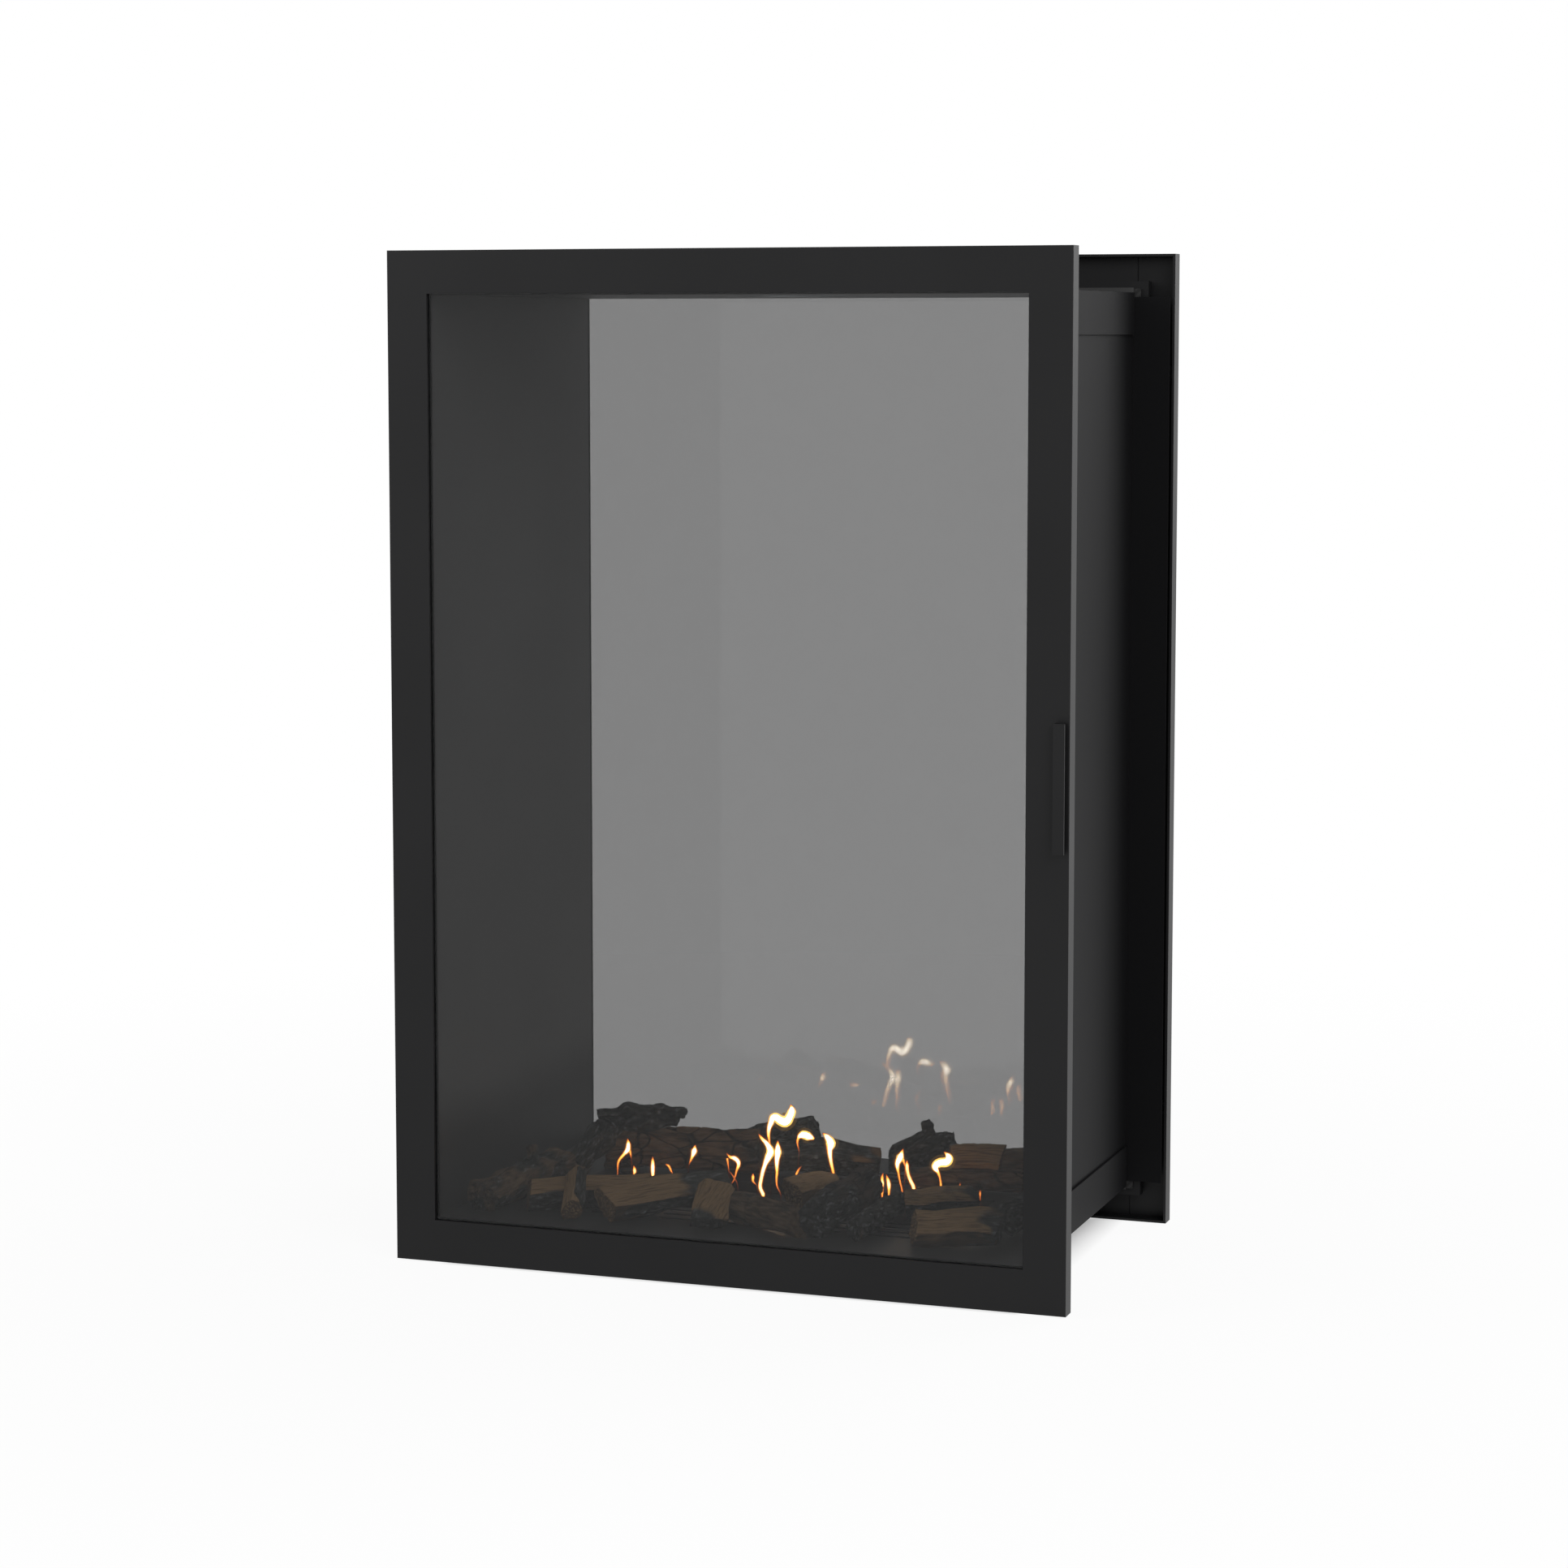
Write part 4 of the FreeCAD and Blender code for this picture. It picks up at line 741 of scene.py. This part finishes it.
# %% [markdown]
# ### The sweep
# A curve's own bevel could make the tubes, but a flat one would twist with its line. The node tree
# spaces the points of the lines evenly, notes each line's depth and how wide the flame is there,
# sweeps a ring along it, and then pulls the tube flat towards that depth. The width is also kept as
# warmth, because the wide parts of a flame burn hottest.

# %% The sweep as a node tree
ring_corners = 14
sweep_sizes = ("Fatness", "Flatness", "Point spacing", "Cold half width", "Hot half width")


def flame_tree():
    """Sweep a ring along the lines, scaled by Fatness, and press it to Flatness front to back."""
    tree = bpy.data.node_groups.new("Flame sweep", "GeometryNodeTree")
    face = tree.interface
    face.new_socket("Geometry", in_out="INPUT", socket_type="NodeSocketGeometry")
    for size in sweep_sizes:
        face.new_socket(size, in_out="INPUT", socket_type="NodeSocketFloat")
    face.new_socket("Material", in_out="INPUT", socket_type="NodeSocketMaterial")
    face.new_socket("Geometry", in_out="OUTPUT", socket_type="NodeSocketGeometry")
    given = add(tree, "NodeGroupInput").outputs
    place = add(tree, "GeometryNodeInputPosition").outputs["Position"]
    depth = add(tree, "ShaderNodeSeparateXYZ", {"Vector": place}).outputs["Y"]
    half_width = add(tree, "GeometryNodeInputRadius").outputs["Radius"]
    spacing = {"Curve": given["Geometry"], "Length": given["Point spacing"]}
    even = add(tree, "GeometryNodeResampleCurve", spacing, mode="LENGTH").outputs["Curve"]
    note = {"Geometry": even, "Name": "line_depth", "Value": depth}
    noted = add(tree, "GeometryNodeStoreNamedAttribute", note, domain="POINT", data_type="FLOAT")
    warm_range = {"Value": half_width, "From Min": given["Cold half width"],
                  "From Max": given["Hot half width"]}
    warm = add(tree, "ShaderNodeMapRange", warm_range).outputs["Result"]
    note = {"Geometry": noted.outputs["Geometry"], "Name": "warmth", "Value": warm}
    noted = add(tree, "GeometryNodeStoreNamedAttribute", note, domain="POINT", data_type="FLOAT")
    fat = add(tree, "ShaderNodeMath", {0: half_width, 1: given["Fatness"]}, operation="MULTIPLY")
    ring = add(tree, "GeometryNodeCurvePrimitiveCircle", {"Resolution": ring_corners, "Radius": 1.0})
    sweeping = {"Curve": noted.outputs["Geometry"], "Profile Curve": ring.outputs["Curve"],
                "Scale": fat.outputs["Value"], "Fill Caps": True}
    swept = add(tree, "GeometryNodeCurveToMesh", sweeping).outputs["Mesh"]
    middle = add(tree, "GeometryNodeInputNamedAttribute", {"Name": "line_depth"}, data_type="FLOAT")
    from_middle = {0: depth, 1: middle.outputs["Attribute"]}
    off = add(tree, "ShaderNodeMath", from_middle, operation="SUBTRACT").outputs["Value"]
    thin = add(tree, "ShaderNodeMath", {0: given["Flatness"], 1: 1.0}, operation="SUBTRACT")
    pull = add(tree, "ShaderNodeMath", {0: off, 1: thin.outputs["Value"]}, operation="MULTIPLY")
    move = add(tree, "ShaderNodeCombineXYZ", {"Y": pull.outputs["Value"]}).outputs["Vector"]
    pressed = add(tree, "GeometryNodeSetPosition", {"Geometry": swept, "Offset": move})
    solid = add(tree, "GeometryNodeRealizeInstances", {"Geometry": pressed.outputs["Geometry"]})
    dressing = {"Geometry": solid.outputs["Geometry"], "Material": given["Material"]}
    lit = add(tree, "GeometryNodeSetMaterial", dressing)
    add(tree, "NodeGroupOutput", {"Geometry": lit.outputs["Geometry"]})
    return tree


sweep = flame_tree()
sockets = {item.name: item.identifier for item in sweep.interface.items_tree if item.in_out == "INPUT"}
print("inputs of the sweep:", list(sockets))

# %% [markdown]
# ### Fire as light
# Glowing gas has no colour of its own, it only gives light. A lamp in each flame could light the
# logs, but would not be seen. So each skin is a black, partly clear surface that emits, and the
# warmth sets both its hue and its strength. The heart is bright enough to show as white; the outer
# skins are dim and let the heart through.

# %% The three skins
point_spacing = 0.0007
cold_half_width = 0.0003
hot_half_width = 0.0042


def fire(name, colours, cool, hot, alpha):
    """Glowing gas, redder and weaker where the flame is thin."""
    material, tree, shader = new_material(name)
    heat = add(tree, "ShaderNodeAttribute", attribute_name="warmth").outputs["Fac"]
    hue = add(tree, "ShaderNodeValToRGB", {"Fac": heat}, stops=colours)
    glow = add(tree, "ShaderNodeMapRange", {"Value": heat, "To Min": cool, "To Max": hot})
    tree.links.new(hue.outputs["Color"], shader.inputs["Emission Color"])
    tree.links.new(glow.outputs["Result"], shader.inputs["Emission Strength"])
    shader.inputs["Base Color"].default_value = srgb("#000000")
    shader.inputs["Roughness"].default_value = 1.0
    shader.inputs["Specular IOR Level"].default_value = 0.0
    shader.inputs["Alpha"].default_value = alpha
    material.surface_render_method = "BLENDED"
    return material


white_hot = [(0.0, "#c8501e"), (0.35, "#ffa040"), (0.7, "#ffe9b8"), (1.0, "#fff6e2")]
orange = [(0.0, "#a8340f"), (0.4, "#f07a24"), (1.0, "#ffc060")]
# Each skin: fatness, flatness, gas
flame_skins = {
    "flame_heart": (0.60, 0.55, fire("white-hot gas", white_hot, cool=0.3, hot=30.0, alpha=0.85)),
    "flame_body": (1.05, 0.50, fire("orange gas flame", orange, cool=0.2, hot=5.0, alpha=0.45)),
    "flame_glow": (1.75, 0.60, fire("dim flame edge", orange, cool=0.05, hot=1.2, alpha=0.05)),
}
for name, (fatness, flatness, gas) in flame_skins.items():
    modifier = lines.modifiers.new(name, "NODES")
    modifier.node_group = sweep
    modifier[sockets["Material"]] = gas
    sizes = (fatness, flatness, point_spacing, cold_half_width, hot_half_width)
    for size, value in zip(sweep_sizes, sizes):
        modifier[sockets[size]] = value
    evaluated = lines.evaluated_get(bpy.context.evaluated_depsgraph_get())
    skin = bpy.data.objects.new(name, bpy.data.meshes.new_from_object(evaluated))
    lines.modifiers.remove(modifier)
    skin.data.polygons.foreach_set("use_smooth", [True] * len(skin.data.polygons))
    bpy.context.scene.collection.objects.link(skin)
    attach(skin, "casing")
    print(name, len(skin.data.polygons), [m.name for m in skin.data.materials])
bpy.data.objects.remove(lines)

# %% [markdown]
# ## Studio
# A pale floor in a white surround, as for a catalogue. A floor lit by lamps alone would be grey in
# the picture. So what the camera sees of floor and surround, directly or in metal and glass, glows
# white, and the light they throw on the object is weaker. Near the object a little of the floor's own
# shading is left for the shadow, and under the box all of it, so that it is dark behind the slots of
# the fire bed.

# %% Floor
scene = bpy.context.scene
floor_half = 12.0
# From here to here, in metres from the middle, the floor's white glow grows to full
shadow_near, shadow_far = 0.5, 1.8
white_near = 0.94
# Over this stretch on each axis the glow fades out under the box
under_box = {"X": (0.24, 0.30), "Y": (0.17, 0.21)}


def seen_by_camera(tree):
    """1 for what the camera sees directly, in a mirror or through glass."""
    ray = add(tree, "ShaderNodeLightPath").outputs
    seen = ray["Is Camera Ray"]
    for way in ("Is Glossy Ray", "Is Transmission Ray"):
        seen = add(tree, "ShaderNodeMath", {0: seen, 1: ray[way]}, operation="MAXIMUM").outputs["Value"]
    return seen


def beyond_box(tree, place, axis):
    """0 under the box and 1 outside it, along one axis."""
    inner, outer = under_box[axis]
    along = add(tree, "ShaderNodeSeparateXYZ", {"Vector": place}).outputs[axis]
    reach = add(tree, "ShaderNodeMath", {0: along}, operation="ABSOLUTE").outputs["Value"]
    fade = {"Value": reach, "From Min": inner, "From Max": outer}
    return add(tree, "ShaderNodeMapRange", fade).outputs["Result"]


def pale_floor():
    """Matt pale floor that glows white for the camera away from the box."""
    material, tree, shader = new_material("pale studio floor")
    shader.inputs["Base Color"].default_value = srgb("#e6e6e6")
    shader.inputs["Roughness"].default_value = 0.9
    place = add(tree, "ShaderNodeTexCoord").outputs["Object"]
    away = add(tree, "ShaderNodeVectorMath", {0: place}, operation="LENGTH").outputs["Value"]
    white_range = {"Value": away, "From Min": shadow_near, "From Max": shadow_far,
                   "To Min": white_near, "To Max": 1.0}
    share = add(tree, "ShaderNodeMapRange", white_range).outputs["Result"]
    either_way = {0: beyond_box(tree, place, "X"), 1: beyond_box(tree, place, "Y")}
    clear = add(tree, "ShaderNodeMath", either_way, operation="MAXIMUM").outputs["Value"]
    for other in (seen_by_camera(tree), clear):
        share = add(tree, "ShaderNodeMath", {0: share, 1: other}, operation="MULTIPLY").outputs["Value"]
    white = add(tree, "ShaderNodeEmission", {"Color": (1, 1, 1, 1), "Strength": 1.0}).outputs["Emission"]
    both = add(tree, "ShaderNodeMixShader", {0: share, 1: shader.outputs["BSDF"], 2: white})
    tree.links.new(both.outputs["Shader"], tree.nodes["Material Output"].inputs["Surface"])
    return material


floor_mesh = bpy.data.meshes.new("studio_floor")
corners = [(x * floor_half, y * floor_half, 0) for x, y in ((-1, -1), (1, -1), (1, 1), (-1, 1))]
floor_mesh.from_pydata(corners, [], [(0, 1, 2, 3)])
floor_mesh.materials.append(pale_floor())
floor = bpy.data.objects.new("studio_floor", floor_mesh)
scene.collection.objects.link(floor)
print("floor:", floor.name, "half width", floor_half)

# %% Surround
surround_light = 0.35
world = bpy.data.worlds.new("white surround")
scene.world = world
world.use_nodes = True
tree = world.node_tree
tree.nodes.clear()
level_range = {"Value": seen_by_camera(tree), "To Min": surround_light, "To Max": 1.0}
level = add(tree, "ShaderNodeMapRange", level_range).outputs["Result"]
surround = add(tree, "ShaderNodeBackground", {"Color": (1, 1, 1, 1), "Strength": level})
add(tree, "ShaderNodeOutputWorld", {"Surface": surround.outputs["Background"]})
print("surround:", world.name)

# %% [markdown]
# ### Lamps
# A catalogue picture has the soft, even light of large lamp boxes. Small lamps would put hard sparks
# on the satin frames, so three area lamps of about two metres stand around the object: the key from
# the front right models the frames, a weak fill opens the left, and one behind lights the rear door
# and the logs through its glass.

# %% Lamps
lamp_target = Vector((0, 0, 0.5))


def soft_lamp(name, place, size, power):
    """Square area lamp that looks at the middle of the object; size in metres, power in watts."""
    lamp = bpy.data.lights.new(name, "AREA")
    lamp.shape = "SQUARE"
    lamp.size = size
    lamp.energy = power
    holder = bpy.data.objects.new(name, lamp)
    holder.location = place
    holder.rotation_euler = (lamp_target - Vector(place)).to_track_quat("-Z", "Y").to_euler()
    scene.collection.objects.link(holder)
    print(name, power, "W")


soft_lamp("key lamp", (2.6, -2.6, 2.6), size=2.0, power=70)
soft_lamp("fill lamp", (-2.8, -2.2, 1.8), size=2.4, power=35)
soft_lamp("rear lamp", (2.2, 2.6, 2.2), size=2.2, power=50)

# %% [markdown]
# ### Camera
# The camera stands a little to the right, just below the height of the door's top rail, and looks
# slightly down. A near camera with a short lens would frame the object too, but the upright edges
# would lean together. A long lens from almost four metres away keeps them nearly parallel, and a
# small shift of the lens sets the object in the frame without turning the camera.

# %% Camera
camera_place = (1.2415, -3.559, 0.9205)
camera_yaw = math.radians(19.35)
camera_pitch = math.radians(5.75)
camera_lens = 86.37
camera_shift = -0.045
camera = bpy.data.cameras.new("camera")
camera.sensor_width = 36
camera.lens = camera_lens
camera.shift_y = camera_shift
holder = bpy.data.objects.new("camera", camera)
holder.location = camera_place
holder.rotation_euler = (math.pi / 2 - camera_pitch, 0, camera_yaw)
scene.collection.objects.link(holder)
scene.camera = holder
scene.view_settings.view_transform = "Standard"
print("camera:", camera_place, "lens", camera_lens)
